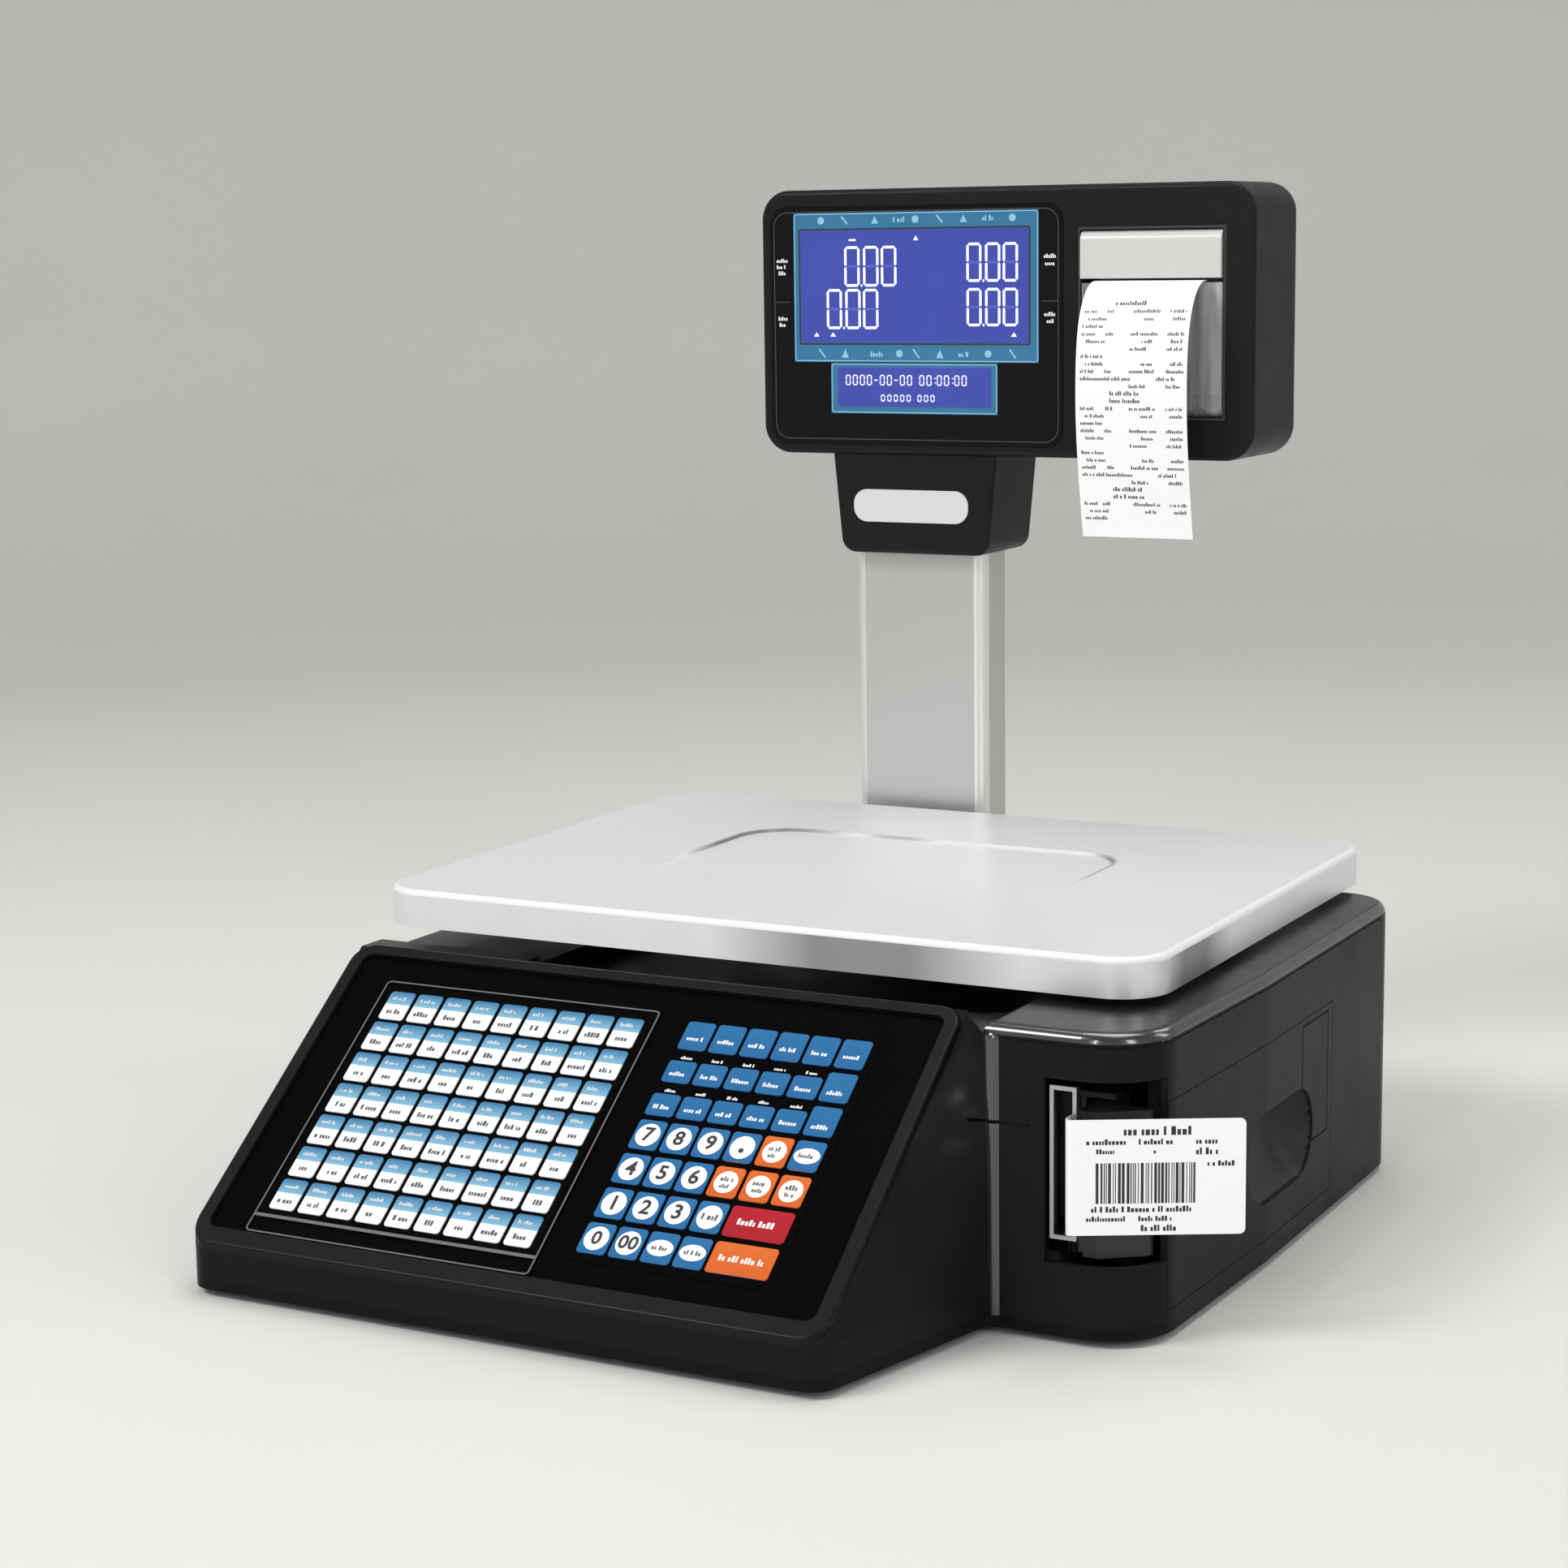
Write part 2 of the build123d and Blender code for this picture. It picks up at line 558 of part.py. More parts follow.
def switch_frame():
    """Housing of the rocker switch."""
    x0, x1, z0, z1 = SOCKETS["switch"]
    body = block(x0, x1, 104, BODY_BACK + 1.6, z0, z1)
    body += upright(x0 - 1.5, x1 + 1.5, z0 - 1.5, z1 + 1.5, BODY_BACK + 1.6, BODY_BACK + 3.2, 2)
    body -= block(x0 + 1.5, x1 - 1.5, BODY_BACK - 9, BODY_BACK + 4, z0 + 1.5, z1 - 1.5)
    _, y, z = SWITCH_AXIS
    return body - bar_x(x0 + 0.1, x1 - 0.1, y - 1, z, 1 + RUNNING)


def power_rocker():
    """Rocker of the mains switch, a shallow vee that tips about X."""
    x, y, z = SWITCH_AXIS
    side = Plane.YZ * Polygon(
        (y - 5, z - 5), (y + 3.0, z - 8.6), (y + 1.6, z), (y + 4.6, z + 8.2), (y - 3, z + 7),
        (y - 6, z + 2), align=None,
    )
    rocker = Pos(x - 5, 0, 0) * extrude(side, 10, dir=(1, 0, 0))
    return rocker + bar_x(x - 6.8, x + 6.8, y - 1, z, 1)


def level_vial():
    """Round spirit level let into the deck."""
    cup = post(-150, 70, SHELL_TOP, SHELL_TOP + 2.6, 8)
    return cup + post(-150, 70, SHELL_TOP + 2.6, SHELL_TOP + 3.4, 6.5)


# ---- pole and neck --------------------------------------------------------
def pole_socket():
    """Moulded tower at the back of the body that clamps the foot of the pole."""
    half = POLE_WIDTH / 2
    back = POLE_FRONT + POLE_DEPTH
    points = [(POLE_X - half - 11, BODY_BACK), (POLE_X - half - 11, back + 11),
              (POLE_X + half + 11, back + 11), (POLE_X + half + 11, BODY_BACK)]
    tower = plan(points, [0, 14, 14, 0], FOOT_GAP, 108)
    tower = fillet(tower.edges().group_by(Axis.Z)[-1], 3)
    bore = RectangleRounded(POLE_WIDTH + 0.3, POLE_DEPTH + 0.3, 7.15)
    tower -= Pos(POLE_X, POLE_FRONT + POLE_DEPTH / 2, POLE_BOTTOM) * extrude(bore, 110, dir=(0, 0, 1))
    for z in (40, 80):
        tower -= bar_y(POLE_X, back, back + 12, z, 3.2)
    return tower


def pole():
    """Extruded aluminium pole, hollow for the cable."""
    outer = RectangleRounded(POLE_WIDTH, POLE_DEPTH, 7)
    inner = RectangleRounded(POLE_WIDTH - 4, POLE_DEPTH - 4, 5)
    foot_point = Pos(POLE_X, POLE_FRONT + POLE_DEPTH / 2, POLE_BOTTOM)
    tube = foot_point * extrude(outer - inner, POLE_TOP - POLE_BOTTOM, dir=(0, 0, 1))
    for z in (40, 80):
        tube -= bar_y(POLE_X, POLE_FRONT + POLE_DEPTH - 4, POLE_FRONT + POLE_DEPTH + 2, z, 3.2)
    return tube


def pole_bolts():
    """Two screws through the socket's back into the pole."""
    back = POLE_FRONT + POLE_DEPTH
    screws = None
    for z in (40, 80):
        screw = bar_y(POLE_X, back - 3, back + 11, z, 3) + bar_y(POLE_X, back + 11, back + 14, z, 6)
        screw -= bar_y(POLE_X, back + 12, back + 15, z, 2.2)
        screws = screw if screws is None else screws + screw
    return screws


def neck():
    """Tapered collar between the pole and the head."""
    low, high = NECK_NARROW / 2, NECK_WIDE / 2
    front = [(NECK_X - high, NECK_TOP), (NECK_X - low, NECK_BOTTOM),
             (NECK_X + low, NECK_BOTTOM), (NECK_X + high, NECK_TOP)]
    outline = Plane.XZ.offset(-NECK_FRONT) * make_face(FilletPolyline(*front, radius=[0, 8, 8, 0], close=True))
    collar = extrude(outline, NECK_BACK - NECK_FRONT, dir=(0, 1, 0))
    by_depth = collar.edges().group_by(Axis.Y)
    rims = [edge for edge in by_depth[0] + by_depth[-1] if edge.center().Z < NECK_TOP - 1]
    collar = fillet(rims, 2.5)
    bore = RectangleRounded(POLE_WIDTH + 0.3, POLE_DEPTH + 0.3, 7.15)
    middle = POLE_FRONT + POLE_DEPTH / 2
    return collar - Pos(POLE_X, middle, NECK_BOTTOM - 1) * extrude(bore, 70, dir=(0, 0, 1))


def neck_plate():
    """Plain white plate on the front of the neck."""
    plate = upright(-87.0, -22.3, 300.3, 317, NECK_FRONT - 0.8, NECK_FRONT + 1.4, 7.5)
    return plate - neck()


# ---- head -----------------------------------------------------------------
def head_mass(inset):
    """The head as a filled shape, drawn in by inset."""
    solid = upright(HEAD_LEFT + inset, HEAD_RIGHT - inset, HEAD_BASE + inset, HEAD_TOP - inset,
                    HEAD_FRONT + inset, HEAD_BACK - inset, 15 - inset)
    rim = solid.edges().group_by(Axis.Y)
    solid = fillet(rim[-1], 13 - inset)
    if inset == 0:
        solid = fillet(solid.edges().group_by(Axis.Y)[0], 3)
    return solid


def head_front():
    """Front half of the head with openings for the displays and the printer."""
    half = (head_mass(0) - head_mass(WALL)) & block(-200, 200, 100, HEAD_SPLIT, 300, 500)
    x0, x1, z0, z1 = WINDOW
    half -= upright(x0, x1, z0, z1, HEAD_FRONT - 1, HEAD_FRONT + 1.5, 9)
    for left, right, low, high in (MAIN_LCD, LINE_LCD):
        half -= block(left - 0.2, right + 0.2, HEAD_FRONT - 1, HEAD_FRONT + 6, low - 0.2, high + 0.2)
    x0, x1, z0, z1 = SLOT
    half -= block(x0, x1, HEAD_FRONT - 2, HEAD_FRONT + 8, z0, z1)
    half -= post(POLE_X, POLE_FRONT + POLE_DEPTH / 2, HEAD_BASE - 1, HEAD_BASE + 5, 9)
    return half


def head_back():
    """Rear half of the head, with the customer's display window and vents."""
    half = (head_mass(0) - head_mass(WALL)) & block(-200, 200, HEAD_SPLIT, 300, 300, 500)
    x0, x1, z0, z1 = REAR_LCD
    half -= block(x0 - 0.2, x1 + 0.2, HEAD_BACK - 6, HEAD_BACK + 1, z0 - 0.2, z1 + 0.2)
    for step in range(8):
        x = 50 + step * 7
        half -= block(x, x + 2.4, HEAD_BACK - 6, HEAD_BACK + 1, 380, 425)
    half -= post(POLE_X, POLE_FRONT + POLE_DEPTH / 2, HEAD_BASE - 1, HEAD_BASE + 5, 9)
    return half


def display_window():
    """Dark acrylic plate around the two displays."""
    x0, x1, z0, z1 = WINDOW
    plate = upright(x0 + 0.2, x1 - 0.2, z0 + 0.2, z1 - 0.2, HEAD_FRONT - 0.3, HEAD_FRONT + 1.5, 8.8)
    for left, right, low, high in (MAIN_LCD, LINE_LCD):
        plate -= block(left - 0.15, right + 0.15, HEAD_FRONT - 2, HEAD_FRONT + 3,
                       low - 0.15, high + 0.15)
    return plate


def lcd_module(place, face, rear):
    """Display module: a framed slab with its active glass let in a little."""
    x0, x1, z0, z1 = place
    y0, y1 = min(face, rear), max(face, rear)
    module = block(x0, x1, y0, y1, z0, z1)
    return module


def head_board():
    """Display driver board behind the windows."""
    board = block(-125, 25, 158, 159.6, 346, 460)
    for x, z in ((-122.8, 349), (22.6, 349), (-122.8, 457), (22.6, 457)):
        board += bar_y(x, HEAD_FRONT + WALL, 158, z, 2.2)
    return board + block(-60, -40, 159.6, 162, 400, 420) + block(-100, -60, 159.6, 166, 352, 358)


# ---- receipt printer ------------------------------------------------------
def receipt_well():
    """Liner of the printer opening with its bucket, side walls and stub pins."""
    x0, x1, z0, z1 = SLOT
    front, back = HEAD_FRONT + 0.3, 205.0
    well = block(x0 + 0.3, x1 - 0.3, front, back, z0 + 0.3, z1 - 0.3)
    well -= block(x0 + 1.8, x1 - 1.8, front - 1, back - 1.5, z0 + 1.8, z1 - 1.8)
    for (y, z), radius in ((DOOR_AXIS, 1.5), (LEVER_AXIS, 1.5)):
        well -= bar_x(x0 - 1, x1 + 1, y, z, radius + RUNNING)
    y, z, _, bore = ROLL
    well += bar_x(x0 + 1, x0 + 16, y, z, bore - RUNNING) + bar_x(x1 - 16, x1 - 1, y, z, bore - RUNNING)
    return well


def receipt_door():
    """Smoked door hinged along its foot, with ears that carry the platen."""
    x0, x1 = SLOT[0] + 2.3, SLOT[1] - 2.3
    y, z = DOOR_AXIS
    door = block(x0, x1, y - DOOR_BARREL, y - DOOR_BARREL + 2.4, z, EXIT_Z - 1)
    door += bar_x(x0, x1, y, z, DOOR_BARREL)
    door += block(x0, x1, y - DOOR_BARREL, y, z, z + 3)
    for left in (x0, x1 - 2.4):
        door += block(left, left + 2.4, y - DOOR_BARREL, y + 6, z + 36, EXIT_Z - 1)
    door += bar_x(x0 - 1.9, x1 + 1.9, y, z, 1.5)
    return door - bar_x(x0 - 1, x1 + 1, RECEIPT_PLATEN[0], RECEIPT_PLATEN[1], 2 + RUNNING)


def receipt_platen():
    """Rubber drive roller on a steel shaft, carried by the door."""
    y, z = RECEIPT_PLATEN
    x0, x1 = SLOT[0] + 2.3, SLOT[1] - 2.3
    roller = bar_x(x0 + 4, x1 - 4, y, z, 5) + bar_x(x0 + 0.4, x1 - 0.4, y, z, 2)
    return roller


def receipt_lever():
    """Pale lever above the paper exit that frees the door."""
    x0, x1 = SLOT[0] + 2.3, SLOT[1] - 2.3
    y, z = LEVER_AXIS
    front = y - LEVER_BARREL
    lever = bar_x(x0, x1, y, z, LEVER_BARREL) + block(x0, x1, front, front + 2.6, EXIT_Z + 1.2, z)
    lever += block(x0, x1, front, front + 5, EXIT_Z + 1.2, EXIT_Z + 3.2)
    lever += bar_x(x0 - 1.9, x1 + 1.9, y, z, 1.5)
    return lever


def receipt_head():
    """Thermal print head and its heat sink above the platen."""
    x0, x1 = SLOT[0] + 6, SLOT[1] - 6
    head = block(x0, x1, 159.2, 162, 405, 427) + block(x0 + 4, x1 - 4, 162, 168, 408, 424)
    bridge = block(SLOT[0] + 1.8, SLOT[1] - 1.8, 164, 167, 424, 430)
    return head + bridge


def receipt_roll():
    """Roll of thermal paper on its core."""
    y, z, radius, bore = ROLL
    middle = (SLOT[0] + SLOT[1]) / 2
    half = RECEIPT_WIDTH / 2
    roll = bar_x(middle - half, middle + half, y, z, radius)
    return roll - bar_x(middle - half - 1, middle + half + 1, y, z, bore)


def receipt_strip():
    """Printed receipt curling out over the door and hanging down."""
    points = [(146, EXIT_Z), (137, 421), (125, 408), (119.5, 384), (119.5, 356), (123.5, 326),
              (129, 298)]
    middle = (SLOT[0] + SLOT[1]) / 2
    sheet = Plane.YZ.offset(middle - RECEIPT_WIDTH / 2) * ribbon(points, PAPER)
    return extrude(sheet, RECEIPT_WIDTH, dir=(1, 0, 0))


# ---- label printer cassette -----------------------------------------------
def cassette_rails():
    """Two rails on the tray that guide the cassette."""
    return (block(88, 204, -152, -144, FOOT_GAP + WALL, 13.6)
            + block(88, 204, 6, 14, FOOT_GAP + WALL, 13.6))


def cassette_cover():
    """Side cover of the cassette with a finger scoop pressed into it."""
    y0, y1, z0, z1 = APERTURE
    gap = CASSETTE_GAP
    window = block(NOTCH[0] + 22.4, 230, y0 + gap, y1 - gap, z0 + gap, z1 - gap)
    cover = (body_mass(0) - body_mass(WALL)) & window
    back, front, z, radius, proud = SCOOP
    axis_x = BODY_RIGHT + proud

    def capsule(size):
        return (bar_y(axis_x, back, front, z, size) + Pos(axis_x, back, z) * Sphere(size)
                + Pos(axis_x, front, z) * Sphere(size))

    pocket = capsule(radius + 2) & block(180, BODY_RIGHT - 1, -120, 30, z0 + gap, z1 - gap)
    left, right, low, high = PANEL_LINE
    line = block(BODY_RIGHT - 0.5, BODY_RIGHT + 1, left, right, low, high)
    line -= block(BODY_RIGHT - 1, BODY_RIGHT + 2, left + 0.8, right - 0.8, low + 0.8, high - 0.8)
    return (cover + pocket) - capsule(radius) - line


def cassette_chassis():
    """Cassette floor, walls, spindles and the brackets of the print mechanism."""
    floor = block(90, 204, -160, 22, 14, 16.5)
    frame = floor + block(90, 92.4, -160, 22, 14, 92)
    for y in (-58, 17):
        frame += block(203, BODY_RIGHT - WALL, y, y + 5, 14, 24)
    x, y, _ = LABEL_ROLL
    frame += post(x, y, 16, 44, 17) + post(x, y, 44, 46.6, 30) + post(x, y, 46, 99, 11.8)
    x, y, _ = SPOOL
    frame += post(x, y, 16, 99, 4) + post(x, y, 16, 43.4, 9)
    for low, high in ((38.0, 41.0), (98.0, 100.4)):
        frame += block(144, 184, -163.5, -128, low, high)
    frame += block(144, 147.6, -163.5, -159.5, 16, 99) + block(177, 184, -142, -128, 16, 99)
    frame += block(175, 177.4, -181, -142, 38, 97) + block(177, 184, -147, -142, 38, 99)
    x, y, _ = PLATEN
    frame -= post(x, y, 37, 101, 3 + RUNNING)
    frame -= post(*HEAD_LATCH, 37, 101, 1.5 + RUNNING)
    frame += block(172.9, 175.2, -153, -149, 60, 84)
    guard = plan([(177, -181), (184, -181), (201.5, -168), (201.5, -165.7), (177, -165.7)],
                 [0, 4, 4, 0, 0], 36, 97)
    guard -= plan([(177.4, -178.6), (183.4, -178.6), (199, -167.2), (199, -164), (177.4, -164)],
                  [0, 2, 0, 0, 0], 38.4, 94.6)
    return frame + guard


def outlet_frame():
    """Bright frame around the slot that the labels come out of."""
    ring = block(165, 176.6, PRINTER_FRONT + 1, PRINTER_FRONT + 4.6, 44, 108)
    ring -= block(166.7, 174.9, PRINTER_FRONT - 1, PRINTER_FRONT + 6, 45.8, 106.2)
    return ring + block(174.9, 176.6, PRINTER_FRONT + 4, PRINTER_FRONT + 7, 50, 96)


def label_platen():
    """Drive roller of the label printer with its gear."""
    x, y, radius = PLATEN
    roller = post(x, y, PAPER_Z[0] - 3, PAPER_Z[1] + 0.4, radius) + post(x, y, GEAR_Z[0], 100.4, 3)
    wheel = gear(GEAR_MODULE, GEAR_TEETH, GEAR_Z[0], GEAR_Z[1], PINION_BEARING + 180 / GEAR_TEETH)
    return roller + Pos(x, y, 0) * wheel


def pinion_centre():
    """Where the motor's pinion meshes with the platen's gear."""
    reach = GEAR_MODULE * (GEAR_TEETH + PINION_TEETH) / 2 + 0.2
    bearing = radians(PINION_BEARING)
    return PLATEN[0] + reach * cos(bearing), PLATEN[1] + reach * sin(bearing)


def motor_pinion():
    """Pinion and shaft of the feed motor."""
    x, y = pinion_centre()
    wheel = gear(GEAR_MODULE, PINION_TEETH, GEAR_Z[0], GEAR_Z[1], PINION_BEARING + 180)
    return Pos(x, y, 0) * wheel + post(x, y, 22, 37, 1.5)


def label_motor():
    """Flat stepper motor that feeds the labels."""
    x, y = pinion_centre()
    can = post(x, y, 16.5, 28, 14.5) - post(x, y, 21, 29, 1.5 + RUNNING)
    return can + (block(x - 20, x + 20, y - 4, y + 4, 26.8, 28) - post(x, y, 21, 29, 6))


def label_head():
    """Thermal print head on a hinged plate beside the platen."""
    x = PLATEN[0] + PLATEN[2] + 0.9
    return block(x, x + 2.2, -158.5, -143, 44, 97) + block(x + 2.2, x + 6, -156, -146, 50, 92)


def head_latch():
    """Cam lever that lifts the print head off the platen."""
    x, y = HEAD_LATCH
    shaft = post(x, y, 41.5, 97.5, 3) + post(x, y, 38, 100.4, 1.5)
    return shaft + block(x - 24, x, y - 2.5, y + 2.5, 90, 94)


def label_roll():
    """Roll of labels on its cardboard core."""
    x, y, radius = LABEL_ROLL
    low, high = PAPER_Z
    return post(x, y, low, high, radius) - post(x, y, low - 1, high + 1, 11.8 + RUNNING)


def rewind_spool():
    """Take-up spool with the spent liner wound on it."""
    x, y, radius = SPOOL
    spool = post(x, y, 46, 98, radius) + post(x, y, 43.8, 46.5, radius + 3)
    return spool - post(x, y, 42, 99, 4 + RUNNING)


def printed_label():
    """Printed label coming out of the slot and standing out past the side."""
    stub_x, inner_end, thickness, bend = 173.5, -176.0, PAPER, 2.2
    heading = radians(LABEL_HEADING)
    side = Vector(-sin(heading), cos(heading)) * thickness
    tip = Vector(*LABEL_TIP)
    corner = Vector(stub_x, tip.Y - (tip.X - stub_x) * tan(heading))
    inside = tip + side
    inside_corner = Vector(stub_x + thickness, inside.Y - (inside.X - stub_x - thickness) * tan(heading))
    outline = [(stub_x, inner_end), corner, tip, inside, inside_corner, (stub_x + thickness, inner_end)]
    strip = plan(outline, [0, bend, 0, 0, bend - thickness, 0], *LABEL_Z)
    along = Vector(cos(heading), sin(heading), 0)
    low, high = LABEL_Z
    middle = Vector(*LABEL_TIP, (low + high) / 2) - along * LABEL_REACH / 2
    face = Plane(origin=middle, x_dir=along, z_dir=(sin(heading), -cos(heading), 0))
    shape = face * RectangleRounded(LABEL_REACH, high - low, LABEL_CORNER)
    return strip & extrude(shape, 100, both=True)


# ---- assembly -------------------------------------------------------------
def sub_parts():
    """Every sub-part by name."""
    parts = {
        "base_tray": base_tray(),
        "upper_housing": upper_housing(),
        "console_bezel": console_bezel(),
        "key_panel": key_panel(),
        "hot_keys": hot_keys(),
        "card_pocket": card_pocket(),
        "function_keys": function_keys(),
        "keyboard_board": keyboard_board(),
        "main_board": main_board(),
        "power_supply": power_supply(),
        "connector_plate": connector_plate(),
        "rear_ports": rear_ports(),
        "power_inlet": power_inlet(),
        "switch_frame": switch_frame(),
        "power_rocker": power_rocker(),
        "level_vial": level_vial(),
        "load_cell": load_cell(),
        "cell_base": cell_base(),
        "cell_bolts": cell_bolts(),
        "spider": spider(),
        "platter": platter(),
        "pole_socket": pole_socket(),
        "pole": pole(),
        "pole_bolts": pole_bolts(),
        "neck": neck(),
        "neck_plate": neck_plate(),
        "head_front": head_front(),
        "head_back": head_back(),
        "display_window": display_window(),
        "main_lcd": lcd_module(MAIN_LCD, HEAD_FRONT + 0.2, HEAD_FRONT + 7),
        "line_lcd": lcd_module(LINE_LCD, HEAD_FRONT + 0.2, HEAD_FRONT + 7),
        "rear_lcd": lcd_module(REAR_LCD, HEAD_BACK - 0.6, HEAD_BACK - 8),
        "head_board": head_board(),
        "receipt_well": receipt_well(),
        "receipt_door": receipt_door(),
        "receipt_platen": receipt_platen(),
        "receipt_lever": receipt_lever(),
        "receipt_head": receipt_head(),
        "receipt_roll": receipt_roll(),
        "receipt_strip": receipt_strip(),
        "cassette_rails": cassette_rails(),
        "cassette_cover": cassette_cover(),
        "cassette_chassis": cassette_chassis(),
        "outlet_frame": outlet_frame(),
        "label_platen": label_platen(),
        "motor_pinion": motor_pinion(),
        "label_motor": label_motor(),
        "label_head": label_head(),
        "head_latch": head_latch(),
        "label_roll": label_roll(),
        "rewind_spool": rewind_spool(),
        "printed_label": printed_label(),
    }
    for number, (x, y) in enumerate(FEET_AT, 1):
        parts[f"foot_{number}"] = foot(x, y)
    for number, (x, y) in enumerate(((-1, -1), (1, -1), (-1, 1), (1, 1)), 1):
        parts[f"platter_stud_{number}"] = stud(x * STUD_AT[0], y * STUD_AT[1])
    return parts


def main():
    os.makedirs("parts", exist_ok=True)
    for name, part in sub_parts().items():
        export_step(Pos(*SHIFT) * part, f"parts/{name}.step")


if __name__ == "__main__":
    main()
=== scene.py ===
"""Looks of a label-printing price scale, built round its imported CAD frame.

Places on the object are in the CAD source's millimetres, and place() turns them into the frame's
metres. Print and glass are thin closed prisms on planes. The stage and its lights are in metres.
"""
import math
import random

import bpy
from mathutils import Matrix, Vector
from mathutils.bvhtree import BVHTree


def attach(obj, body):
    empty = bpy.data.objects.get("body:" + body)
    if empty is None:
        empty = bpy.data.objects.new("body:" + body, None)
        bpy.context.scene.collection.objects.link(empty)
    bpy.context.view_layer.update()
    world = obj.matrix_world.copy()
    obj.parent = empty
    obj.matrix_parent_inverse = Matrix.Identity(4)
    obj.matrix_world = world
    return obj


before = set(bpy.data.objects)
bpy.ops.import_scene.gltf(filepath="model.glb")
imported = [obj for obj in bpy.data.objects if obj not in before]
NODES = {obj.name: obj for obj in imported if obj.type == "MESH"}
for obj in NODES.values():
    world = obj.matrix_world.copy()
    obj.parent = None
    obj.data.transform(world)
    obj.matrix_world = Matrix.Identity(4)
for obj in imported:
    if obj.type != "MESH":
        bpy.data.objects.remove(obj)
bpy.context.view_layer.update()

SHIFT_X, SHIFT_Y = -22.0, 36.7          # CAD source millimetres to the frame's origin
SLOPE_Y, SLOPE_Z, SLOPE_LEAN = -287.6, 26.3, math.radians(37.1)
HOT_U, HOT_V, HOT_PITCH_U, HOT_PITCH_V = -163.0, 19.5, 14.9, 17.85
HOT_KEY_U, HOT_KEY_V = 12.9, 16.0
HOT_COLUMNS, HOT_ROWS = 9, 7
KEY_U, KEY_V, KEY_PITCH_U, KEY_PITCH_V = -9.5, 21.5, 15.0, 18.0
KEY_WIDTH, KEY_HEIGHT, SHORT_KEY = 13.4, 15.2, 11.6
KEY_FOOT = -1.45                        # height on the slope that parts the keys from their sheet
CARD_TOP, KEY_TOP, SPOT_TOP, POCKET_TOP = -1.0, -0.9, -0.85, -0.65      # heights of print on the slope
WINDOW_Y, LCD_Y, REAR_LCD_Y = 144.9, 145.4, 216.05
MAIN_GLASS, LINE_GLASS, REAR_GLASS = (-116, 12, 392, 449), (-95, -8.5, 359.5, 379.5), (-12, 106, 384, 442)
BEAD, BEAD_RADIUS, RIM_FOOT, CROWN_FOOT_Y = (140.0, -184.6), 4.6, 114.0, -140.0
SCOOP_X, SCOOP_Y, SCOOP_LEVEL = (190.0, 211.6), (-86.0, 4.0), (26.0, 74.0)
PLATTER_INNER = (150.0, 110.0)          # half sizes of the part of the platter away from its edge
DISH_MIDDLE, DISH_HALF, DISH_CORNER = (0.0, -5.0), (99.5, 70.5), 27.0
RECEIPT_TOP, RECEIPT_FOOT, RECEIPT_PITCH = 411.0, 303, 3.6
LABEL_TIP, LABEL_HEADING = (238.5, -159.7), math.radians(27.9)
BARCODE = (-60.2, -20.6, 61.2, 78.0)    # from the label's tip: start, end, foot and top


def place(x, y, z):
    """A point of the CAD source, in the frame's metres."""
    return Vector(((x + SHIFT_X) / 1000, (y + SHIFT_Y) / 1000, z / 1000))


def source_xy(point):
    """x and y of a frame point in the CAD source's millimetres."""
    return point.x * 1000 - SHIFT_X, point.y * 1000 - SHIFT_Y


# ---- materials -------------------------------------------------------------
class Nodes:
    """A small wrapper that keeps material building short."""

    def __init__(self, name):
        self.material = bpy.data.materials.new(name)
        self.material.use_nodes = True
        self.tree = self.material.node_tree
        self.shader = self.tree.nodes["Principled BSDF"]
        self.coords = self.tree.nodes.new("ShaderNodeTexCoord").outputs["Object"]

    def link(self, source, target):
        self.tree.links.new(source, target)

    def mapped(self, scale):
        node = self.tree.nodes.new("ShaderNodeMapping")
        node.inputs["Scale"].default_value = scale
        self.link(self.coords, node.inputs["Vector"])
        return node.outputs["Vector"]

    def noise(self, scale, detail=2.0, vector=None, rough=0.5):
        node = self.tree.nodes.new("ShaderNodeTexNoise")
        node.inputs["Scale"].default_value = scale
        node.inputs["Detail"].default_value = detail
        node.inputs["Roughness"].default_value = rough
        self.link(vector or self.coords, node.inputs["Vector"])
        return node.outputs["Fac"]

    def cells(self, scale):
        node = self.tree.nodes.new("ShaderNodeTexVoronoi")
        node.inputs["Scale"].default_value = scale
        self.link(self.coords, node.inputs["Vector"])
        return node.outputs["Distance"]

    def span(self, value, low, high, out_low, out_high):
        """Maps a value from one range to another and holds it at the ends."""
        node = self.tree.nodes.new("ShaderNodeMapRange")
        for key, number in (("From Min", low), ("From Max", high),
                            ("To Min", out_low), ("To Max", out_high)):
            node.inputs[key].default_value = number
        self.link(value, node.inputs["Value"])
        return node.outputs["Result"]

    def math(self, kind, first, second=None):
        node = self.tree.nodes.new("ShaderNodeMath")
        node.operation = kind
        for slot, value in ((0, first), (1, second)):
            if value is None:
                continue
            if isinstance(value, (int, float)):
                node.inputs[slot].default_value = value
            else:
                self.link(value, node.inputs[slot])
        return node.outputs["Value"]

    def mix(self, share, first, second):
        node = self.tree.nodes.new("ShaderNodeMix")
        node.data_type = "RGBA"
        self.link(share, node.inputs["Factor"])
        for slot, value in ((6, first), (7, second)):
            if isinstance(value, tuple):
                node.inputs[slot].default_value = (*value, 1)
            else:
                self.link(value, node.inputs[slot])
        return node.outputs[2]

    def bump(self, height, strength, distance=0.0002):
        node = self.tree.nodes.new("ShaderNodeBump")
        node.inputs["Strength"].default_value = strength
        node.inputs["Distance"].default_value = distance
        self.link(height, node.inputs["Height"])
        self.link(node.outputs["Normal"], self.shader.inputs["Normal"])

    def set(self, **values):
        """Constants of the shader, named with an underscore for each space."""
        for key, value in values.items():
            self.shader.inputs[key.replace("_", " ")].default_value = value


